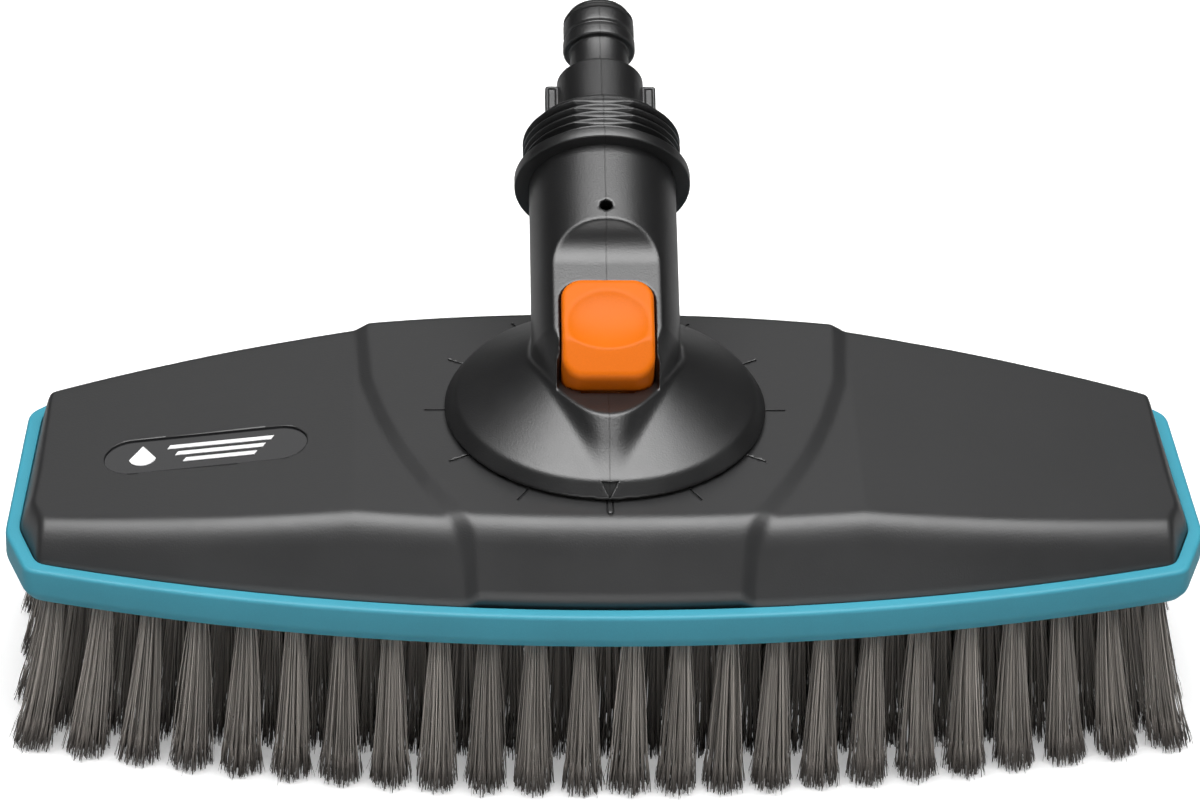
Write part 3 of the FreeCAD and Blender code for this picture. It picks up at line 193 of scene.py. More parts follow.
def surface_nets(field, low, high, step):
    """Quads on the zero surface of a distance field: one point per crossed cell, moved onto the surface."""
    axes = [np.arange(a, b + step, step) for a, b in zip(low, high)]
    x, y, z = np.meshgrid(*axes, indexing="ij")
    values = field(x, y, z)
    inside = values < 0
    cells = tuple(n - 1 for n in values.shape)
    total = np.zeros(cells + (3,))
    count = np.zeros(cells)
    for axis in range(3):
        others = [a for a in range(3) if a != axis]
        for b in (0, 1):
            for c in (0, 1):
                near = [slice(0, n) for n in cells]
                near[others[0]] = slice(b, cells[others[0]] + b)
                near[others[1]] = slice(c, cells[others[1]] + c)
                far = list(near)
                far[axis] = slice(1, cells[axis] + 1)
                v0, v1 = values[tuple(near)], values[tuple(far)]
                crossed = inside[tuple(near)] != inside[tuple(far)]
                share = np.where(crossed, v0 / np.where(crossed, v0 - v1, 1.0), 0.0)
                total[..., axis] += np.where(crossed, share, 0.0)
                total[..., others[0]] += np.where(crossed, float(b), 0.0)
                total[..., others[1]] += np.where(crossed, float(c), 0.0)
                count += crossed
    used = count > 0
    index = np.full(cells, -1, dtype=np.int64)
    index[used] = np.arange(used.sum())
    where = np.argwhere(used)
    points = np.asarray(low) + (where + total[used] / count[used][:, None]) * step
    quads = []
    for axis in range(3):
        b, c = [(1, 2), (2, 0), (0, 1)][axis]
        near = [slice(1, n) for n in cells]
        near[axis] = slice(0, cells[axis])
        far = list(near)
        far[axis] = slice(1, cells[axis] + 1)
        low_in, high_in = inside[tuple(near)], inside[tuple(far)]
        for rising in (True, False):
            places = np.argwhere((low_in if rising else high_in) & ~(high_in if rising else low_in))
            for a in range(3):
                if a != axis:
                    places[:, a] += 1
            corners = []
            for db, dc in ((-1, -1), (0, -1), (0, 0), (-1, 0)):
                cell = places.copy()
                cell[:, b] += db
                cell[:, c] += dc
                corners.append(index[cell[:, 0], cell[:, 1], cell[:, 2]])
            quad = np.stack(corners, axis=1)
            quads.append(quad if rising else quad[:, ::-1])
    quads = np.concatenate(quads)
    reach = 0.5 * step
    for _ in range(4):
        value = field(*points.T)
        slope = np.empty_like(points)
        for a in range(3):
            shift = np.zeros(3)
            shift[a] = 0.05
            slope[:, a] = (field(*(points + shift).T) - field(*(points - shift).T)) / 0.1
        size = np.maximum((slope ** 2).sum(axis=1), 0.2)
        move = slope * (value / size)[:, None]
        length = np.linalg.norm(move, axis=1)
        move *= np.minimum(1.0, reach / np.maximum(length, 1e-9))[:, None]
        points = points - move
    return points, quads


def smooth_max(a, b, radius):
    """The larger of two distances, with the inside corner rounded."""
    span = np.maximum(radius - np.abs(a - b), 0.0) / radius
    return np.maximum(a, b) + span * span * radius * 0.25


def smooth_min(a, b, radius):
    return -smooth_max(-a, -b, radius)


def round_corners(profile, radius, steps=4):
    """A closed outline with every corner cut by a short curve; a corner's third value is its own radius."""
    corners = [np.array(p[:2], dtype=float) for p in profile]
    radii = [p[2] if len(p) > 2 else radius for p in profile]
    result = []
    for i, corner in enumerate(corners):
        before, after = corners[i - 1] - corner, corners[(i + 1) % len(corners)] - corner
        reach = min(radii[i], 0.45 * np.linalg.norm(before), 0.45 * np.linalg.norm(after))
        start = corner + before / np.linalg.norm(before) * reach
        end = corner + after / np.linalg.norm(after) * reach
        for t in np.linspace(0, 1, steps):
            result.append(start * (1 - t) ** 2 + corner * 2 * t * (1 - t) + end * t ** 2)
    return np.array(result)


def neck_points(x, v, s):
    """Points of the neck's frame in the head's: v is up from the neck's axis, s runs out of the nipple."""
    x, v, s = np.broadcast_arrays(x, v, s)
    return np.stack([x, FLANGE_Y - v * math.sin(TILT) + s * math.cos(TILT),
                     FLANGE_Z + v * math.cos(TILT) + s * math.sin(TILT)], axis=-1)


def neck_coordinates(y, z):
    y, z = y - FLANGE_Y, z - FLANGE_Z
    return z * math.cos(TILT) - y * math.sin(TILT), y * math.cos(TILT) + z * math.sin(TILT)


def turned(profile, segments, reach=None):
    """A closed (radius, s) outline turned round the neck's axis; reach may limit the radius by direction."""
    angle = np.linspace(0, 2 * math.pi, segments, endpoint=False)[:, None]
    radius, s = profile[:, 0][None, :], profile[:, 1][None, :]
    if reach is not None:
        radius = np.minimum(radius, np.maximum(reach(angle), profile[:, 0].min() + 0.01))
    points = neck_points(radius * np.sin(angle), radius * np.cos(angle), s + 0 * angle)
    return points.reshape(-1, 3), grid_faces(segments, len(profile), True, True)


# ---------------------------------------------------------------- materials

def new_material(name):
    material = bpy.data.materials.new(name)
    material.use_nodes = True
    nodes, links = material.node_tree.nodes, material.node_tree.links
    return material, nodes, links, nodes["Principled BSDF"]


def link_math(nodes, links, operation, a, b=None, clamp=False):
    """A math node fed by sockets or numbers."""
    node = nodes.new("ShaderNodeMath")
    node.operation = operation
    node.use_clamp = clamp
    for socket, value in zip(node.inputs, (a, b)):
        if value is None:
            continue
        if isinstance(value, (int, float)):
            socket.default_value = value
        else:
            links.new(value, socket)
    return node.outputs[0]


def noise(nodes, links, vector, scale, detail=2.0, roughness=0.5):
    node = nodes.new("ShaderNodeTexNoise")
    node.inputs["Scale"].default_value = scale
    node.inputs["Detail"].default_value = detail
    node.inputs["Roughness"].default_value = roughness
    links.new(vector, node.inputs["Vector"])
    return node.outputs["Fac"]


def moulded(name, colour, roughness, grain, grain_depth, specular=0.5, coat=0.0, line_half_width=0.0):
    """Moulded plastic: fine grain, slight cloudiness in colour and gloss, and faint handling marks."""
    material, nodes, links, shader = new_material(name)
    place = nodes.new("ShaderNodeTexCoord").outputs["Object"]
    cloud = noise(nodes, links, place, 45.0, 3.0)
    speck = noise(nodes, links, place, grain, 2.0, 0.6)
    marks = noise(nodes, links, place, 320.0, 4.0, 0.7)
    ramp = nodes.new("ShaderNodeMix")
    ramp.data_type = "RGBA"
    ramp.inputs["A"].default_value = tuple(c * 0.84 for c in colour) + (1,)
    ramp.inputs["B"].default_value = tuple(min(1.0, c * 1.18) for c in colour) + (1,)
    mix = link_math(nodes, links, "ADD", link_math(nodes, links, "MULTIPLY", cloud, 0.55),
                    link_math(nodes, links, "MULTIPLY", speck, 0.45))
    links.new(mix, ramp.inputs["Factor"])
    base = ramp.outputs["Result"]
    height = speck
    if line_half_width:
        across = nodes.new("ShaderNodeSeparateXYZ")
        links.new(place, across.inputs[0])
        distance = link_math(nodes, links, "ABSOLUTE", across.outputs["X"])
        line = link_math(nodes, links, "SUBTRACT", 1.0,
                         link_math(nodes, links, "DIVIDE", distance, line_half_width), clamp=True)
        dark = nodes.new("ShaderNodeMix")
        dark.data_type = "RGBA"
        links.new(line, dark.inputs["Factor"])
        links.new(base, dark.inputs["A"])
        dark.inputs["B"].default_value = tuple(c * 0.35 for c in colour) + (1,)
        base = dark.outputs["Result"]
        height = link_math(nodes, links, "SUBTRACT", speck, link_math(nodes, links, "MULTIPLY", line, 1.5))
    links.new(base, shader.inputs["Base Color"])
    gloss = link_math(nodes, links, "ADD", link_math(nodes, links, "MULTIPLY", cloud, 0.10),
                      link_math(nodes, links, "MULTIPLY", marks, 0.08))
    links.new(link_math(nodes, links, "ADD", gloss, roughness - 0.09), shader.inputs["Roughness"])
    bump = nodes.new("ShaderNodeBump")
    bump.inputs["Strength"].default_value = 1.0
    bump.inputs["Distance"].default_value = grain_depth
    links.new(height, bump.inputs["Height"])
    links.new(bump.outputs["Normal"], shader.inputs["Normal"])
    shader.inputs["Specular IOR Level"].default_value = specular
    if coat:
        shader.inputs["Coat Weight"].default_value = coat
        shader.inputs["Coat Roughness"].default_value = 0.12
    return material


def drawn_steel(name):
    material, nodes, links, shader = new_material(name)
    place = nodes.new("ShaderNodeTexCoord").outputs["Object"]
    streak = noise(nodes, links, place, 900.0, 3.0)
    shader.inputs["Metallic"].default_value = 1.0
    shader.inputs["Base Color"].default_value = (0.55, 0.55, 0.54, 1)
    links.new(link_math(nodes, links, "ADD", link_math(nodes, links, "MULTIPLY", streak, 0.25), 0.2),
              shader.inputs["Roughness"])
    return material


def bristle_material():
    """Filaments: each has its own colour, and towards their split tips they mix into a darker tip colour, a
    painted shade that offsets the light bounced up from the floor.
    """
    material, nodes, links, shader = new_material("bristle_filament")
    tone_and_tip_shade = nodes.new("ShaderNodeAttribute")
    tone_and_tip_shade.attribute_name = "tone_and_tip_shade"
    parts = nodes.new("ShaderNodeSeparateColor")
    links.new(tone_and_tip_shade.outputs["Color"], parts.inputs[0])
    body = nodes.new("ShaderNodeMix")
    body.data_type = "RGBA"
    body.inputs["A"].default_value = BRISTLE_DARK
    body.inputs["B"].default_value = BRISTLE_LIGHT
    links.new(parts.outputs["Red"], body.inputs["Factor"])
    # towards the tips: mixed into a darker colour, painted shade against the floor's bounce light
    tip = nodes.new("ShaderNodeMix")
    tip.data_type = "RGBA"
    links.new(body.outputs["Result"], tip.inputs["A"])
    tip.inputs["B"].default_value = BRISTLE_TIP_PAINTED_SHADE
    links.new(parts.outputs["Green"], tip.inputs["Factor"])
    links.new(tip.outputs["Result"], shader.inputs["Base Color"])
    place = nodes.new("ShaderNodeTexCoord").outputs["Object"]
    wear = noise(nodes, links, place, 700.0, 2.0)
    links.new(link_math(nodes, links, "ADD", link_math(nodes, links, "MULTIPLY", wear, 0.2), 0.42),
              shader.inputs["Roughness"])
    shader.inputs["Specular IOR Level"].default_value = 0.45
    return material


BRISTLE_DARK = (0.15, 0.137, 0.125, 1)
BRISTLE_LIGHT = (0.62, 0.57, 0.52, 1)
# painted shade: the tip colour is darker than the filaments, to offset the light the floor bounces onto the
# tips
BRISTLE_TIP_PAINTED_SHADE = (0.11, 0.095, 0.085, 1)

cover_plastic = moulded("cover_satin", (0.016, 0.016, 0.0166), 0.41, 2300.0, 0.000035, 0.85)
neck_plastic = moulded("neck_grained_black", (0.0045, 0.0045, 0.0048), 0.38, 2100.0, 0.00004, 1.0,
                       line_half_width=0.00022)
badge_plastic = moulded("badge_gloss_black", (0.010, 0.010, 0.011), 0.20, 1500.0, 0.000004, 0.6, coat=0.5)
emblem_print = moulded("emblem_print", (0.80, 0.80, 0.80), 0.45, 2600.0, 0.00001)
bumper_rubber = moulded("bumper_soft_teal", (0.044, 0.290, 0.385), 0.50, 2600.0, 0.000022, 0.45)
plate_plastic = moulded("plate_matt_black", (0.020, 0.020, 0.020), 0.60, 1800.0, 0.00003)
inner_plastic = moulded("inner_grey", (0.10, 0.10, 0.10), 0.55, 1800.0, 0.00002)
acetal = moulded("natural_acetal", (0.66, 0.65, 0.60), 0.38, 2400.0, 0.00001)
seal_rubber = moulded("seal_rubber", (0.012, 0.012, 0.012), 0.62, 1500.0, 0.00002, 0.4)
button_plastic = moulded("button_orange", (0.620, 0.128, 0.002), 0.42, 2600.0, 0.000012, 0.16)
steel = drawn_steel("drawn_steel")
bristle = bristle_material()

for node_name, material in {
        "badge_plate": badge_plastic, "badge_emblem": emblem_print, "brush_plate": plate_plastic,
        "plate_screws": steel, "retainer_screws": steel, "button_springs": steel,
        "water_distributor": inner_plastic, "water_elbow": inner_plastic, "nipple_clip": inner_plastic,
        "swivel_retainer": inner_plastic, "detent_ring": inner_plastic, "swivel_washer": acetal,
        "lock_pawl": acetal, "distributor_gasket": seal_rubber, "spigot_seal": seal_rubber,
        "nipple_seal": seal_rubber, "nipple_seat_washer": seal_rubber}.items():
    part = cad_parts[node_name]
    part.data.materials.clear()
    part.data.materials.append(material)


# ---------------------------------------------------------------- plan of the head

def front_edge(x, inset):
    """Front of the head's plan at |x|, set in from the outside."""
    x = np.abs(x)
    radius = FRONT_BOW - inset
    corner_x = HALF_LENGTH - FRONT_CORNER - inset * 0.8
    bow = inset - FRONT_REACH + radius - np.sqrt(radius ** 2 - np.minimum(x, corner_x) ** 2)
    corner_y = inset - FRONT_REACH + radius - math.sqrt(radius ** 2 - corner_x ** 2)
    end_x, end_y = HALF_LENGTH - inset, inset * 0.4 - END_FRONT
    cut = corner_y + (x - corner_x) * (end_y - corner_y) / (end_x - corner_x)
    return np.where(x < corner_x, bow, cut)


def back_edge(x, inset):
    x = np.abs(x)
    radius = BACK_BOW - inset
    corner_x = HALF_LENGTH - BACK_CORNER - inset * 0.7
    bow = BACK_REACH - inset - radius + np.sqrt(radius ** 2 - np.minimum(x, corner_x) ** 2)
    corner_y = BACK_REACH - inset - radius + math.sqrt(radius ** 2 - corner_x ** 2)
    far_x, far_y = HALF_LENGTH - inset - END_TAPER, END_BACK - inset * 0.4
    end_x, end_y = HALF_LENGTH - inset, inset * 0.4 - END_FRONT
    cut = corner_y + (x - corner_x) * (far_y - corner_y) / (far_x - corner_x)
    end = far_y + (x - far_x) * (end_y - far_y) / (end_x - far_x)
    return np.where(x < corner_x, bow, np.where(x < far_x, cut, end))


def inward(x, y, inset, end_steepness=1.0):
    """Distance in from the head's outline, shortest of its front, back and three end edges."""
    x = np.abs(x)
    radius = FRONT_BOW - inset
    front_x = HALF_LENGTH - FRONT_CORNER - inset * 0.8
    front_y = float(front_edge(front_x - 0.001, inset))
    end = (HALF_LENGTH - inset, inset * 0.4 - END_FRONT)
    far = (HALF_LENGTH - inset - END_TAPER, END_BACK - inset * 0.4)
    back_x = HALF_LENGTH - BACK_CORNER - inset * 0.7
    back_y = float(back_edge(back_x - 0.001, inset))
    centre_y = inset - FRONT_REACH + radius
    result = radius - np.hypot(x, y - centre_y)
    radius = BACK_BOW - inset
    centre_y = BACK_REACH - inset - radius
    result = smooth_min(result, radius - np.hypot(x, y - centre_y), 1.0)
    for (ax, ay), (bx, by) in (((front_x, front_y), end), (end, far), (far, (back_x, back_y))):
        length = math.hypot(bx - ax, by - ay)
        distance = -((x - ax) * (by - ay) - (y - ay) * (bx - ax)) / length
        result = smooth_min(result, distance * end_steepness, 1.6)
    return result


def outline(inset, count):
    """Closed plan outline, evenly spaced, with softened corners."""
    xs = np.linspace(-(HALF_LENGTH - inset), HALF_LENGTH - inset, 4001)
    front = np.stack([xs, front_edge(xs, inset)], axis=1)
    back = np.stack([xs[::-1], back_edge(xs[::-1], inset)], axis=1)
    loop = np.concatenate([front[2000:], back[1:-1], front[:2001]])
    length = np.concatenate([[0], np.cumsum(np.linalg.norm(np.diff(loop, axis=0), axis=1))])
    even = np.linspace(0, length[-1], count, endpoint=False)
    points = np.stack([np.interp(even, length, loop[:, a]) for a in (0, 1)], axis=1)
    for _ in range(6):
        points = points * 0.5 + np.roll(points, 1, axis=0) * 0.25 + np.roll(points, -1, axis=0) * 0.25
    return points


# ---------------------------------------------------------------- bumper frame

def make_bumper():
    profile = round_corners([
        (3.4, 45.0, 0.3), (2.0, 45.0, 0.7), (0.0, 48.0, 1.0), (0.0, 55.0, 1.1), (3.4, 55.0, 0.35),
        (3.4, 52.6, 0.2), (5.6, 52.6, 0.2), (5.6, 51.0, 0.2), (3.4, 51.0, 0.2)], 0.3, 5)
    count = 760
    rings = [np.column_stack([outline(inset, count), np.full(count, z)]) for inset, z in profile]
    points = np.stack(rings).reshape(-1, 3)
    make_object("bumper_rim", points, [grid_faces(len(profile), count, True, True, flip=True)],
                HEAD, bumper_rubber, ["bumper_frame"])


# ---------------------------------------------------------------- cover

BAND_Y = np.array([-70.0, -56.0, -48.0, -41.4, -29.9, -16.0, -2.8, 13.7, 34.5, 60.0])
BAND_OUTER = np.array([34.3, 34.3, 35.6, 39.5, 45.6, 51.6, 55.9, 60.0, 61.0, 61.0])
BAND_INNER = np.array([31.0, 31.0, 31.9, 35.1, 41.3, 47.7, 52.2, 56.3, 57.6, 57.9])


def plateau_share(x, y):
    """1 on the proud centre section, 0 on the side areas, falling across the band between them."""
    fine = np.linspace(-70, 60, 521)
    kernel = np.hanning(33)
    kernel /= kernel.sum()
    edges = []
    for table in (BAND_OUTER, BAND_INNER):
        line = np.interp(fine, BAND_Y, table)
        padded = np.concatenate([np.full(16, line[0]), line, np.full(16, line[-1])])
        edges.append(np.interp(y, fine, np.convolve(padded, kernel, mode="valid")))
    outer, inner = edges
    share = (outer - np.abs(x)) / (outer - inner)
    share = smooth_max(smooth_min(share, 1.0, 0.15), 0.0, 0.15)
    return np.clip(share, 0, 1)


def cover_height(x, y):
    face = FRAME_TOP + FACE_RISE * inward(x, y, COVER_INSET, END_STEEPNESS)
    roof = SIDE_TOP - np.maximum(np.abs(x) - ROOF_KINK, 0.0) * ROOF_FALL
    bend = 2.0 + 5.0 * np.clip((20.0 - y) / 30.0, 0.0, 1.0)
    side = smooth_min(face, roof, bend)
    proud = smooth_min(face + 2.6, PLATEAU_TOP, bend)
    return side + (proud - side) * plateau_share(x, y)


def cover_grid(columns, rows):
    """Points of the cover's plan: columns across, each running from the front edge to the back edge."""
    reach = HALF_LENGTH - COVER_INSET - 0.02
    middle = np.linspace(-reach + 8, reach - 8, columns - 32)
    left = -reach + 8 * np.linspace(0, 1, 17)[:-1] ** 1.3
    xs = np.concatenate([left, middle, -left[::-1]])
    share = np.linspace(0, 1, rows)
    x = np.repeat(xs[:, None], rows, axis=1)
    front, back = front_edge(x, COVER_INSET), back_edge(x, COVER_INSET)
    return x, front + (back - front) * share[None, :]


def make_cover():
    columns, rows = 420, 100
    x, y = cover_grid(columns, rows)
    top = cover_height(x, y)
    edge = inward(x, y, COVER_INSET)
    under = top - COVER_WALL
    under = np.where(edge < 3.0, np.maximum(under - (3.0 - edge) * 0.6, 52.8), np.maximum(under, 52.8))
    size = columns * rows
    points = np.concatenate([np.stack([x, y, top], axis=-1).reshape(-1, 3),
                             np.stack([x, y, np.minimum(under, 53.0 + edge * 2.0)], axis=-1).reshape(-1, 3)])
    upper = grid_faces(columns, rows, flip=True)
    lower = grid_faces(columns, rows) + size
    index = np.arange(size).reshape(columns, rows)
    border = np.concatenate([index[:, 0], index[-1, 1:], index[-2::-1, -1], index[0, -2:0:-1]])
    after = np.roll(border, -1)
    rim = np.stack([border, border + size, after + size, after], axis=1)
    cover = make_object("cover_shell", points, [upper, lower, rim], HEAD, cover_plastic,
                        ["top_cover"])
    return cover


def prism(name, loop, low, high):
    """A temporary closed prism used as a cutting tool."""
    count = len(loop)
    points = [(px, py, z) for z in (low, high) for px, py in loop]
    faces = [tuple(reversed(range(count))), tuple(range(count, 2 * count))]
    faces += [(i, (i + 1) % count, (i + 1) % count + count, i + count) for i in range(count)]
    return cutting_tool(name, points, faces)


def cutting_tool(name, points, faces):
    mesh = bpy.data.meshes.new(name)
    mesh.from_pydata([tuple(np.array(p) * MM) for p in points], [], faces)
    tool = bpy.data.objects.new(name, mesh)
    bpy.context.collection.objects.link(tool)
    return tool


def cut_with(piece, tools):
    """Cut closed tools out of a piece, then throw them away."""
    bpy.ops.object.select_all(action="DESELECT")
    for tool in tools:
        tool.select_set(True)
    bpy.context.view_layer.objects.active = tools[0]
    if len(tools) > 1:
        bpy.ops.object.join()
    tool = tools[0]
    modifier = piece.modifiers.new("cut", "BOOLEAN")
    modifier.operation = "DIFFERENCE"
    modifier.solver = "EXACT"
    modifier.object = tool
    bpy.context.view_layer.objects.active = piece
    bpy.ops.object.select_all(action="DESELECT")
    piece.select_set(True)
    bpy.ops.object.modifier_apply(modifier="cut")
    bpy.data.objects.remove(tool, do_unlink=True)


def turned_loop(loop, turn):
    c, s = math.cos(turn), math.sin(turn)
    return [(px * c - py * s, px * s + py * c) for px, py in loop]


def circle(radius, count, centre=(0.0, 0.0)):
    return [(centre[0] + radius * math.cos(2 * math.pi * i / count),
             centre[1] + radius * math.sin(2 * math.pi * i / count)) for i in range(count)]


def tick_tools():
    """Swivel marks every 30 degrees; the front one is a narrow U."""
    tools = []
    low, high = PLATEAU_TOP - 0.4, PLATEAU_TOP + 2.0
    mark = [(-0.22, -43.9), (0.22, -43.9), (0.22, -38.6), (-0.22, -38.6)]
    for step in range(1, 12):
        tools.append(prism("mark", turned_loop(mark, math.radians(30 * step)), low, high))
    outer, inner = 0.85, 0.5
    bend = [(outer * math.cos(t), -43.0 + outer * math.sin(t)) for t in np.linspace(0, -math.pi, 13)]
    bend_in = [(inner * math.cos(t), -43.0 + inner * math.sin(t)) for t in np.linspace(-math.pi, 0, 13)]
    loop = [(outer, -38.6)] + bend + [(-outer, -38.6), (-inner, -38.6)] + bend_in + [(inner, -38.6)]
    tools.append(prism("mark", loop[::-1], low - 0.25, high))
    return tools


def badge_tool():
    """The oval recess for the badge, tilted with the sloping side area."""
    half, width = BADGE_HALF_LENGTH - BADGE_HALF_WIDTH, BADGE_HALF_WIDTH
    turns = np.linspace(-math.pi / 2, math.pi / 2, 25)
    ends = [(half + width * math.cos(t), width * math.sin(t)) for t in turns]
    loop = ends + [(-px, -py) for px, py in ends]
    tool = prism("badge_recess", loop, 0.0, 4.0)
    level = SIDE_TOP - (BADGE_PLACE - ROOF_KINK) * ROOF_FALL
    place = Vector((BADGE_DEPTH * math.sin(ROOF_SLOPE) - BADGE_PLACE, -BADGE_FRONT,
                    level - BADGE_DEPTH * math.cos(ROOF_SLOPE))) * MM
    tool.matrix_world = Matrix.Translation(place) @ Matrix.Rotation(-ROOF_SLOPE, 4, "Y")
    bpy.context.view_layer.update()
    tool.data.transform(tool.matrix_world)
    tool.matrix_world = Matrix.Identity(4)
    return tool


def finish_cover(cover):
    tools = tick_tools() + [badge_tool(), prism("collar_hole", circle(25.2, 96), 60.0, 80.0)]
    cut_with(cover, tools)


# ---------------------------------------------------------------- swivel housing

def housing_field(x, y, z):
    v, s = neck_coordinates(y, z)
    radius = np.hypot(x, y)
    # disc with its bevelled edge, and the dome on it
    bevel = (radius - DISC_RADIUS) * DISC_HEIGHT + (z - DISC_UNDER) * DISC_BEVEL
    bevel = bevel / math.hypot(DISC_HEIGHT, DISC_BEVEL)
    dome = (radius - DOME_RADIUS) * math.sin(DOME_SLOPE) + (z - DOME_LOW) * math.cos(DOME_SLOPE)
    disc = smooth_max(bevel, dome, 0.35)
    disc = smooth_max(disc, DISC_UNDER - z, 0.6)
    # tube and nose
    share = np.clip((-TUBE_END - s) / NOSE_LENGTH, 0.0, 1.3)
    soft = smooth_max(share, 0.0, 0.12)
    # scaled down, because a tapering tube's field is steeper than a distance
    tube = (np.hypot(x, v + 1.0 * soft) - (TUBE_RADIUS - NOSE_TAPER * soft)) * 0.93
    neck = np.maximum(tube, s - 0.6)
    solid = smooth_min(disc, np.maximum(neck, DISC_UNDER + 1.0 - z), 1.6)
    # what is cut away
    recess = rounded_corner(RECESS_LEVEL - v, s + RECESS_END, SCOOP_RADIUS)
    shelf = smooth_max(SHELF_LEVEL - z, y + SHELF_BACK, 0.3)
    shelf = smooth_max(shelf, np.abs(x) - SHELF_HALF_WIDTH, 0.3)
    slot = button_plan(x, s, BUTTON_GAP)
    slot = smooth_max(slot, SLOT_FLOOR - v, 0.6)
    solid = smooth_max(solid, -recess, 0.5)
    solid = smooth_max(solid, -shelf, 0.5)
    solid = smooth_max(solid, -slot, 0.35)
    from_axis = np.hypot(x, v)
    bore = np.minimum(np.maximum(from_axis - NECK_BORE, -BORE_STEP - s),
                      np.maximum(from_axis - PIPE_BORE, np.maximum(-TUBE_END - s, s + BORE_STEP - 1.0)))
    solid = np.maximum(solid, -bore)
    vent = np.maximum(np.hypot(x, s + VENT_PLACE) - VENT_RADIUS, 10.0 - v)
    solid = smooth_max(solid, -vent, 0.2)
    well = np.maximum(radius - WELL_RADIUS, z - WELL_TOP)
    solid = np.maximum(solid, -well)
    shaft = np.maximum(np.maximum(np.abs(x) - 6.5, np.abs(y + 4.0) - 11.0),
                       np.maximum(73.0 - z, z - 88.6))
    solid = np.maximum(solid, -shaft)
    return solid


def rounded_corner(a, b, radius):
    """Distance to the corner where a and b are both below 0, with that corner rounded."""
    a, b = a + radius, b + radius
    return np.minimum(np.maximum(a, b), 0.0) + np.hypot(np.maximum(a, 0.0), np.maximum(b, 0.0)) - radius


def button_plan(x, s, spare):
    """Distance to the button's plan, with rounded corners."""
    bend = BUTTON_BEND + spare
    a = np.abs(x) - (BUTTON_HALF_WIDTH + spare) + bend
    b = np.abs(s + BUTTON_MIDDLE) - (BUTTON_HALF_LENGTH + spare) + bend
    return np.minimum(np.maximum(a, b), 0.0) + np.hypot(np.maximum(a, 0.0), np.maximum(b, 0.0)) - bend


def pointer_tool():
    """A shallow triangle in the front of the disc's bevelled edge, pointing down."""
    mouth = [(-2.1, -42.0, 78.0), (2.1, -42.0, 78.0), (0.0, -42.0, 74.9)]
    floor = [(-2.1, -36.26, 78.0), (2.1, -36.26, 78.0), (0.0, -38.4, 74.9)]
    faces = [(2, 1, 0), (3, 4, 5), (1, 4, 3, 0), (2, 5, 4, 1), (0, 3, 5, 2)]
    return cutting_tool("pointer", mouth + floor, faces)


def flat_reach(angle):
    """Radius of the mould's flats, which cut the crests at the neck's top and bottom."""
    return THREAD_FLAT / np.maximum(np.abs(np.cos(angle)), 0.2)


def thread_profile():
    """Section of the flange and thread; the crests are plain rings, and each corner has its own radius."""
    crest, valley = THREAD_CREST, THREAD_VALLEY
    profile = [(NECK_BORE, FLANGE_LOW, 0.1), (FLANGE_RADIUS, FLANGE_LOW, 0.4),
               (FLANGE_RADIUS, FLANGE_HIGH, 0.4), (valley, FLANGE_HIGH, 0.3)]
    for turn in range(5):
        start = FLANGE_HIGH + THREAD_PITCH * turn + 0.8
        profile += [(valley, start, 0.12), (crest, start + 0.55, 0.1), (crest, start + 0.85, 0.1),
                    (valley, start + 1.4, 0.12)]
    profile += [(valley, 13.1, 0.3), (valley - 0.8, THREAD_END, 0.3), (MOUTH_RADIUS, THREAD_END, 0.3),
                (MOUTH_RADIUS, MOUTH_FLOOR, 0.2), (NECK_BORE, MOUTH_FLOOR, 0.2)]
    return round_corners(profile, 0.2, 4)


def make_housing():
    shell = surface_nets(housing_field, (-41.0, -41.5, 73.4), (41.0, 58.0, 128.5), 0.54)
    collar_count = 144
    collar_angle = np.linspace(0, 2 * math.pi, collar_count, endpoint=False)[:, None]
    collar = round_corners([(WELL_RADIUS, 66.5), (COLLAR_RADIUS, 66.5), (COLLAR_RADIUS, 74.6),
                            (WELL_RADIUS, 74.6)], 0.3, 3)
    collar_points = np.stack([collar[:, 0] * np.cos(collar_angle), collar[:, 0] * np.sin(collar_angle),
                              collar[:, 1] + 0 * collar_angle], axis=-1).reshape(-1, 3)
    collar_faces = grid_faces(collar_count, len(collar), True, True, flip=True)
    profile = thread_profile()
    angle_count = 300
    angle = np.linspace(0, 2 * math.pi, angle_count, endpoint=False)[:, None]
    radius = np.repeat(profile[:, 0][None, :], angle_count, axis=0)
    threaded = (profile[:, 1] > 1.2) & (profile[:, 1] < 12.4) & (profile[:, 0] > 17.0)
    limit = np.broadcast_to(flat_reach(angle), radius.shape)
    radius = np.where(threaded[None, :], np.minimum(radius, limit), radius)
    s = np.repeat(profile[:, 1][None, :], angle_count, axis=0)
    thread_points = neck_points(radius * np.sin(angle), radius * np.cos(angle), s).reshape(-1, 3)
    thread_faces = grid_faces(angle_count, len(profile), True, True)
    points, quads = join_parts([shell, (collar_points, collar_faces)])
    housing = make_object("neck_housing", points, [quads], NECK, neck_plastic,
                          ["swivel_housing"])
    cut_with(housing, [pointer_tool()])
    make_object("neck_thread", thread_points, [thread_faces], NECK, neck_plastic)


# ---------------------------------------------------------------- nipple and button

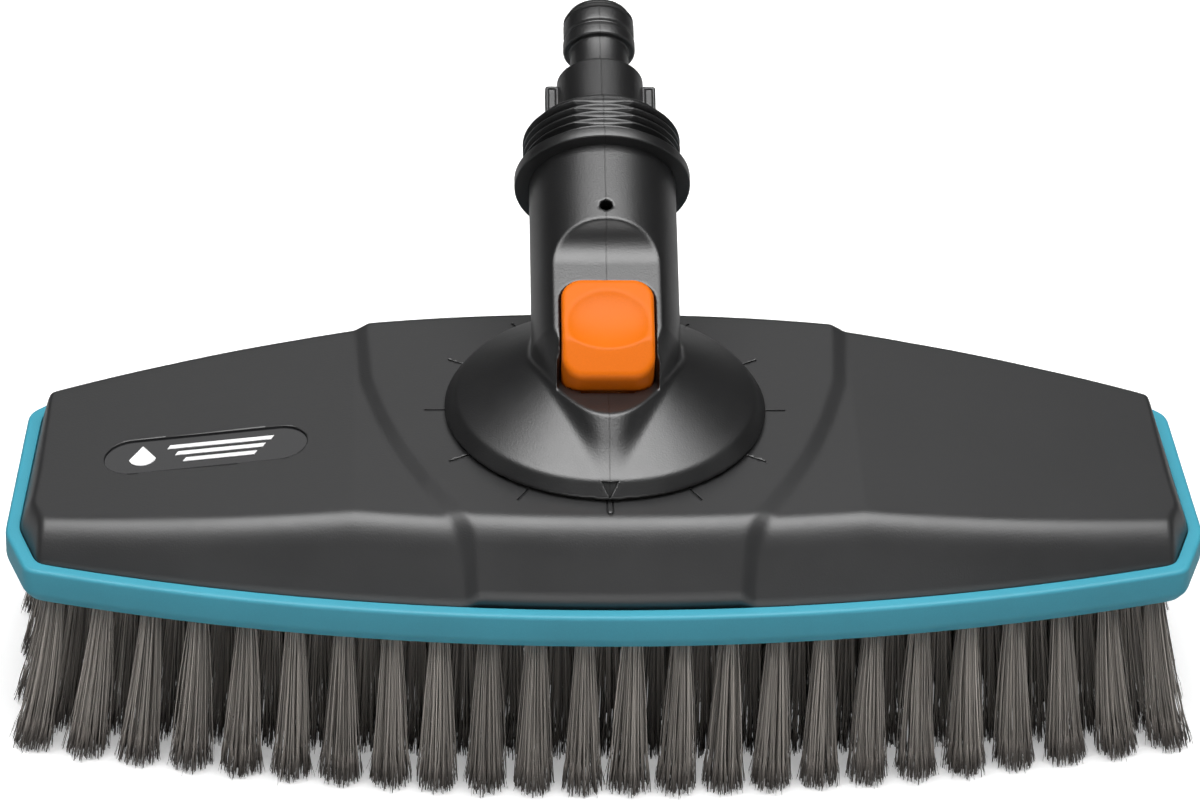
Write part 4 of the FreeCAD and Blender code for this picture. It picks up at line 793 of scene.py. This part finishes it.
def make_nipple():
    foot_high, foot_low = 9.7, 6.9
    profile = round_corners([
        (4.5, foot_low, 0.2), (14.8, foot_low, 0.3), (14.8, foot_high, 0.3), (10.75, foot_high, 0.3),
        (10.75, 30.3, 0.9), (7.3, 30.3, 0.5), (7.3, 39.3, 0.5), (9.0, 39.3, 0.7), (9.0, 42.4, 0.5),
        (8.35, 43.1, 0.3), (8.35, 43.5, 0.3), (8.85, 44.1, 0.4), (8.85, 47.7, 0.4), (7.1, 47.7, 0.15),
        (7.1, 49.4, 0.15), (8.35, 49.4, 0.3), (7.5, 51.0, 0.6), (4.5, 51.0, 0.5)], 0.3, 5)
    stem = turned(profile, 180)
    lugs = []
    for side in (-1, 1):
        lugs.append(surface_nets(lambda x, y, z, side=side: lug_field(x * side, y, z),
                                 *lug_box(side), 0.3))
    points, quads = join_parts([stem] + lugs)
    make_object("nipple_body", points, [quads], NECK, neck_plastic, ["hose_nipple"])


def lug_box(side):
    low, high = (9.0, 54.0, 110.0), (15.0, 80.0, 124.0)
    if side < 0:
        return (-15.0, low[1], low[2]), (-9.0, high[1], high[2])
    return low, high


def lug_field(x, y, z):
    """One side lug of the nipple: a rounded block with a groove down its upper half."""
    v, s = neck_coordinates(y, z)
    width = smooth_max(x - 13.75, 10.0 - x, 0.6)
    height = smooth_max(np.abs(v) - 2.0, -1.0, 0.6)
    outer = smooth_max(width, height, 0.7)
    solid = smooth_max(outer, smooth_max(s - 28.0, 14.1 - s, 0.6), 0.9)
    notch = np.maximum(np.maximum(11.2 - x, x - 12.9), np.maximum(s - 27.0, 1.5 - v))
    return smooth_max(solid, -notch, 0.4)


def button_field(x, y, z):
    v, s = neck_coordinates(y, z)
    side = button_plan(x, s, 0.0)
    top = v - BUTTON_TOP
    front = ((v - 14.3) * 1.0 + (-s - 57.6) * 0.48) / math.hypot(1.0, 0.48)
    solid = smooth_max(side, smooth_max(top, front, 0.4), 1.5)
    solid = smooth_max(solid, 1.8 - v, 0.5)
    under = np.maximum(np.maximum(v - HOLLOW_TOP, -HOLLOW_FRONT - s), s + HOLLOW_BACK)
    # side walls close the front of the hollow; their back end crosses the springs
    under = np.maximum(under, np.minimum(np.abs(x) - HOLLOW_HALF_WIDTH, -HOLLOW_WALL_END - s))
    solid = smooth_max(solid, -under, 0.4)
    across, along, deep = DISH_RADII
    dish = (x / across) ** 2 + ((s + DISH_MIDDLE) / along) ** 2 + ((v - DISH_LEVEL) / deep) ** 2
    dish = (np.sqrt(dish + 1e-9) - 1.0) * deep
    return smooth_max(solid, -dish, 0.3)


def make_button():
    points, quads = surface_nets(button_field, (-12.6, -20.0, 83.5), (12.6, 12.0, 110.0), 0.36)
    make_object("thumb_button", points, [quads], BUTTON, button_plastic, ["release_button"])


# ---------------------------------------------------------------- bristles

TUFT_ROWS = 8
TUFT_PITCH = 11.5
TUFT_EDGE = 6.0
ROOT_RADIUS = 2.2
TIP_RADIUS = 4.9
LEVELS = np.array([0.0, 0.22, 0.45, 0.66, 0.84, 1.0])


def row_y(x, share):
    front = TUFT_EDGE - FRONT_REACH + (FRONT_BOW - TUFT_EDGE) - np.sqrt((FRONT_BOW - TUFT_EDGE) ** 2 - x ** 2)
    back = BACK_REACH - TUFT_EDGE - (BACK_BOW - TUFT_EDGE) + np.sqrt((BACK_BOW - TUFT_EDGE) ** 2 - x ** 2)
    return front + share * (back - front)


def prisms(paths, radii, turn):
    """Closed three-sided filaments along paths (count, levels, 3) with a radius at each level."""
    count, levels = paths.shape[:2]
    angle = turn[:, None, None] + np.array([0, 2, 4]) * math.pi / 3
    offset = np.stack([np.cos(angle), np.sin(angle), 0 * angle], axis=-1)
    points = paths[:, :, None, :] + offset * radii[:, :, None, None]
    points = points.reshape(-1, 3)
    start = (np.arange(count) * levels * 3)[:, None, None]
    k = (np.arange(levels - 1) * 3)[None, :, None]
    c = np.arange(3)[None, None, :]
    n = (c + 1) % 3
    quads = np.stack([start + k + c, start + k + 3 + c, start + k + 3 + n, start + k + n], axis=-1)
    quads = quads.reshape(-1, 4)
    base = (np.arange(count) * levels * 3)[:, None]
    top = base + (levels - 1) * 3
    caps = np.concatenate([base + np.array([0, 1, 2]), top + np.array([2, 1, 0])])
    return points, quads, caps


def tuft_paths(x, y, count, rng):
    """Filament centre lines of one tuft, from the brush plate to the flared tip."""
    order = (np.arange(count) + 0.5) / count
    spin = np.arange(count) * 2.399963 + rng.uniform(0, 6.28)
    unit = np.stack([np.cos(spin), np.sin(spin)], axis=1) * np.sqrt(order)[:, None]
    lean = 9.5 * (x / HALF_LENGTH) ** 3
    root = np.array([x, y]) + unit * ROOT_RADIUS
    spread = unit * TIP_RADIUS + rng.normal(0, 0.42, (count, 2))
    size = np.linalg.norm(spread, axis=1)
    spread *= np.minimum(1.0, (TIP_RADIUS + 0.7) / np.maximum(size, 1e-6))[:, None]
    tip = np.array([x + lean, y]) + spread
    low = np.abs(rng.normal(0, 0.7, count)) + 0.05
    bow = rng.normal(0, 0.35, (count, 2))
    t = LEVELS[None, :, None]
    flat = root[:, None, :] + (tip - root)[:, None, :] * (0.72 * t + 0.28 * t ** 2)
    flat = flat + bow[:, None, :] * np.sin(math.pi * t)
    z = PLATE_UNDER + 1.0 + (low[:, None] - PLATE_UNDER - 1.0) * LEVELS[None, :]
    return np.concatenate([flat, z[:, :, None]], axis=2)


def make_tufts(name, places, count, seed, replaced):
    rng = np.random.default_rng(seed)
    paths = np.concatenate([tuft_paths(x, y, count, rng) for x, y in places])
    total = len(paths)
    radii = np.repeat(np.linspace(0.185, 0.125, len(LEVELS))[None, :], total, axis=0)
    points, quads, caps = prisms(paths, radii, rng.uniform(0, 6.28, total))
    shade = np.clip(rng.normal(0.48, 0.24, total), 0, 1)
    tone_and_tip_shade = np.zeros((total, len(LEVELS), 3, 2))
    tone_and_tip_shade[..., 0] = shade[:, None, None]
    # second channel: mix into the darker tip colour, a painted shade against the floor's bounce light, over
    # the lowest part of each filament
    tone_and_tip_shade[..., 1] = (np.clip((LEVELS - 0.62) / 0.38, 0, 1) ** 1.6 * 0.75)[None, :, None]
    # split tips: two finer hairs leave each filament near its end
    sets, tone_and_tip_shade_sets = [(points, quads, caps)], [tone_and_tip_shade.reshape(-1, 2)]
    for _ in range(2):
        start = paths[:, 4] * 0.75 + paths[:, 3] * 0.25
        end = paths[:, 5] + np.column_stack([rng.normal(0, 0.55, (total, 2)), np.zeros(total)])
        end[:, 2] = np.abs(rng.normal(0, 0.9, total)) + 0.03
        middle = (start + end) / 2 + np.column_stack([rng.normal(0, 0.16, (total, 2)), np.zeros(total)])
        hairs = np.stack([start, middle, end], axis=1)
        size = np.repeat(np.array([[0.085, 0.075, 0.055]]), total, axis=0)
        sets.append(prisms(hairs, size, rng.uniform(0, 6.28, total)))
        fine = np.zeros((total, 3, 3, 2))
        fine[..., 0] = np.clip(shade + 0.25, 0, 1)[:, None, None]
        # the split hairs mix into the painted-shade tip colour more and more towards their ends
        fine[..., 1] = np.array([0.45, 0.75, 1.0])[None, :, None]
        tone_and_tip_shade_sets.append(fine.reshape(-1, 2))
    offset, all_points, all_quads, all_caps = 0, [], [], []
    for set_points, set_quads, set_caps in sets:
        all_points.append(set_points)
        all_quads.append(set_quads + offset)
        all_caps.append(set_caps + offset)
        offset += len(set_points)
    piece = make_object(name, np.concatenate(all_points),
                        [np.concatenate(all_quads), np.concatenate(all_caps)],
                        HEAD, bristle, replaced)
    colours = np.ones((offset, 4))
    colours[:, :2] = np.concatenate(tone_and_tip_shade_sets)
    layer = piece.data.color_attributes.new("tone_and_tip_shade", "FLOAT_COLOR", "POINT")
    layer.data.foreach_set("color", colours.ravel())


def make_bristles():
    carrying = []
    for row in range(TUFT_ROWS):
        count = 24 - row % 2
        xs = (np.arange(count) - (count - 1) / 2) * TUFT_PITCH
        places = [(x, float(row_y(x, row / (TUFT_ROWS - 1)))) for x in xs]
        others = []
        for index, place in enumerate(places):
            kept = row in (0, TUFT_ROWS - 1) and index in (0, count // 3, count - 1 - count // 3, count - 1)
            (carrying if kept else others).append(place)
        filaments = 120 if row == 0 else 95 if row == TUFT_ROWS - 1 else 80
        make_tufts("bristle_row_%d" % (row + 1), others, filaments, 40 + row, ["tuft_row_%d" % (row + 1)])
    make_tufts("bristle_carrying", carrying, 120, 60, ["carrying_tufts"])


# ---------------------------------------------------------------- scene

def make_floor():
    mesh = bpy.data.meshes.new("floor")
    mesh.from_pydata([(-6, -6, 0), (6, -6, 0), (6, 6, 0), (-6, 6, 0)], [], [(0, 1, 2, 3)])
    floor = bpy.data.objects.new("floor", mesh)
    floor.location.z = -0.0002
    bpy.context.collection.objects.link(floor)
    material, nodes, links, shader = new_material("floor_white")
    seen = nodes.new("ShaderNodeLightPath").outputs["Is Camera Ray"]
    links.new(link_math(nodes, links, "ADD", link_math(nodes, links, "MULTIPLY", seen, 0.5), 0.4),
              shader.inputs["Base Color"])
    shader.inputs["Roughness"].default_value = 0.9
    shader.inputs["Specular IOR Level"].default_value = 0.0
    shader.inputs["Emission Color"].default_value = (1, 1, 1, 1)
    links.new(link_math(nodes, links, "MULTIPLY", seen, 0.3), shader.inputs["Emission Strength"])
    mesh.materials.append(material)


def make_light(name, place, target, size_x, size_y, power):
    light = bpy.data.lights.new(name, "AREA")
    light.shape = "RECTANGLE"
    light.size = size_x
    light.size_y = size_y
    light.energy = power
    thing = bpy.data.objects.new(name, light)
    thing.location = place
    thing.rotation_mode = "QUATERNION"
    thing.rotation_quaternion = (Vector(target) - Vector(place)).to_track_quat("-Z", "Y")
    bpy.context.collection.objects.link(thing)


def make_lights():
    make_light("overhead", (0.0, -0.17, 1.25), (0.0, -0.17, 0.0), 1.6, 0.95, 29.0)
    make_light("left_strip", (-1.1, -0.05, 0.45), (0.0, 0.02, 0.08), 0.22, 0.9, 0.15)
    make_light("right_strip", (1.1, -0.05, 0.45), (0.0, 0.02, 0.08), 0.22, 0.9, 0.25)
    make_light("backdrop", (0.0, 1.6, 1.1), (0.0, 0.0, 0.07), 1.4, 0.8, 2.2)
    make_light("front_fill", (0.0, -1.5, 0.14), (0.0, 0.0, 0.03), 1.8, 0.25, 5.0)
    world = bpy.data.worlds.new("studio")
    bpy.context.scene.world = world
    world.use_nodes = True
    nodes, links = world.node_tree.nodes, world.node_tree.links
    seen = nodes.new("ShaderNodeLightPath").outputs["Is Camera Ray"]
    strength = link_math(nodes, links, "ADD", link_math(nodes, links, "MULTIPLY", seen, 0.96), 0.04)
    links.new(strength, nodes["Background"].inputs["Strength"])
    nodes["Background"].inputs["Color"].default_value = (1, 1, 1, 1)


def make_camera():
    """The viewpoint: a long lens, a little left of the front, looking down at the disc."""
    azimuth, elevation, roll = (math.radians(a) for a in (-2.627, 34.187, 1.593))
    distance, aside, above = 1.460126, -0.001189, 0.001937
    back = Vector((math.sin(azimuth) * math.cos(elevation), -math.cos(azimuth) * math.cos(elevation),
                   math.sin(elevation)))
    right = Vector((math.cos(azimuth), math.sin(azimuth), 0))
    up = back.cross(right)
    across = right * math.cos(roll) + up * math.sin(roll)
    upright = up * math.cos(roll) - right * math.sin(roll)
    data = bpy.data.cameras.new("camera")
    data.sensor_width = 36.0
    data.lens = 180.0
    data.clip_start, data.clip_end = 0.05, 30.0
    camera = bpy.data.objects.new("camera", data)
    bpy.context.collection.objects.link(camera)
    place = Vector((0, 0, PLATEAU_TOP * MM)) + across * aside + upright * above + back * distance
    turn = Matrix((across, upright, back)).transposed().to_4x4()
    camera.matrix_world = Matrix.Translation(place) @ turn
    bpy.context.scene.camera = camera


make_bumper()
finish_cover(make_cover())
make_housing()
make_nipple()
make_button()
make_bristles()
make_floor()
make_lights()
make_camera()
bpy.context.scene.view_settings.view_transform = "Standard"
bpy.context.scene.view_settings.look = "None"
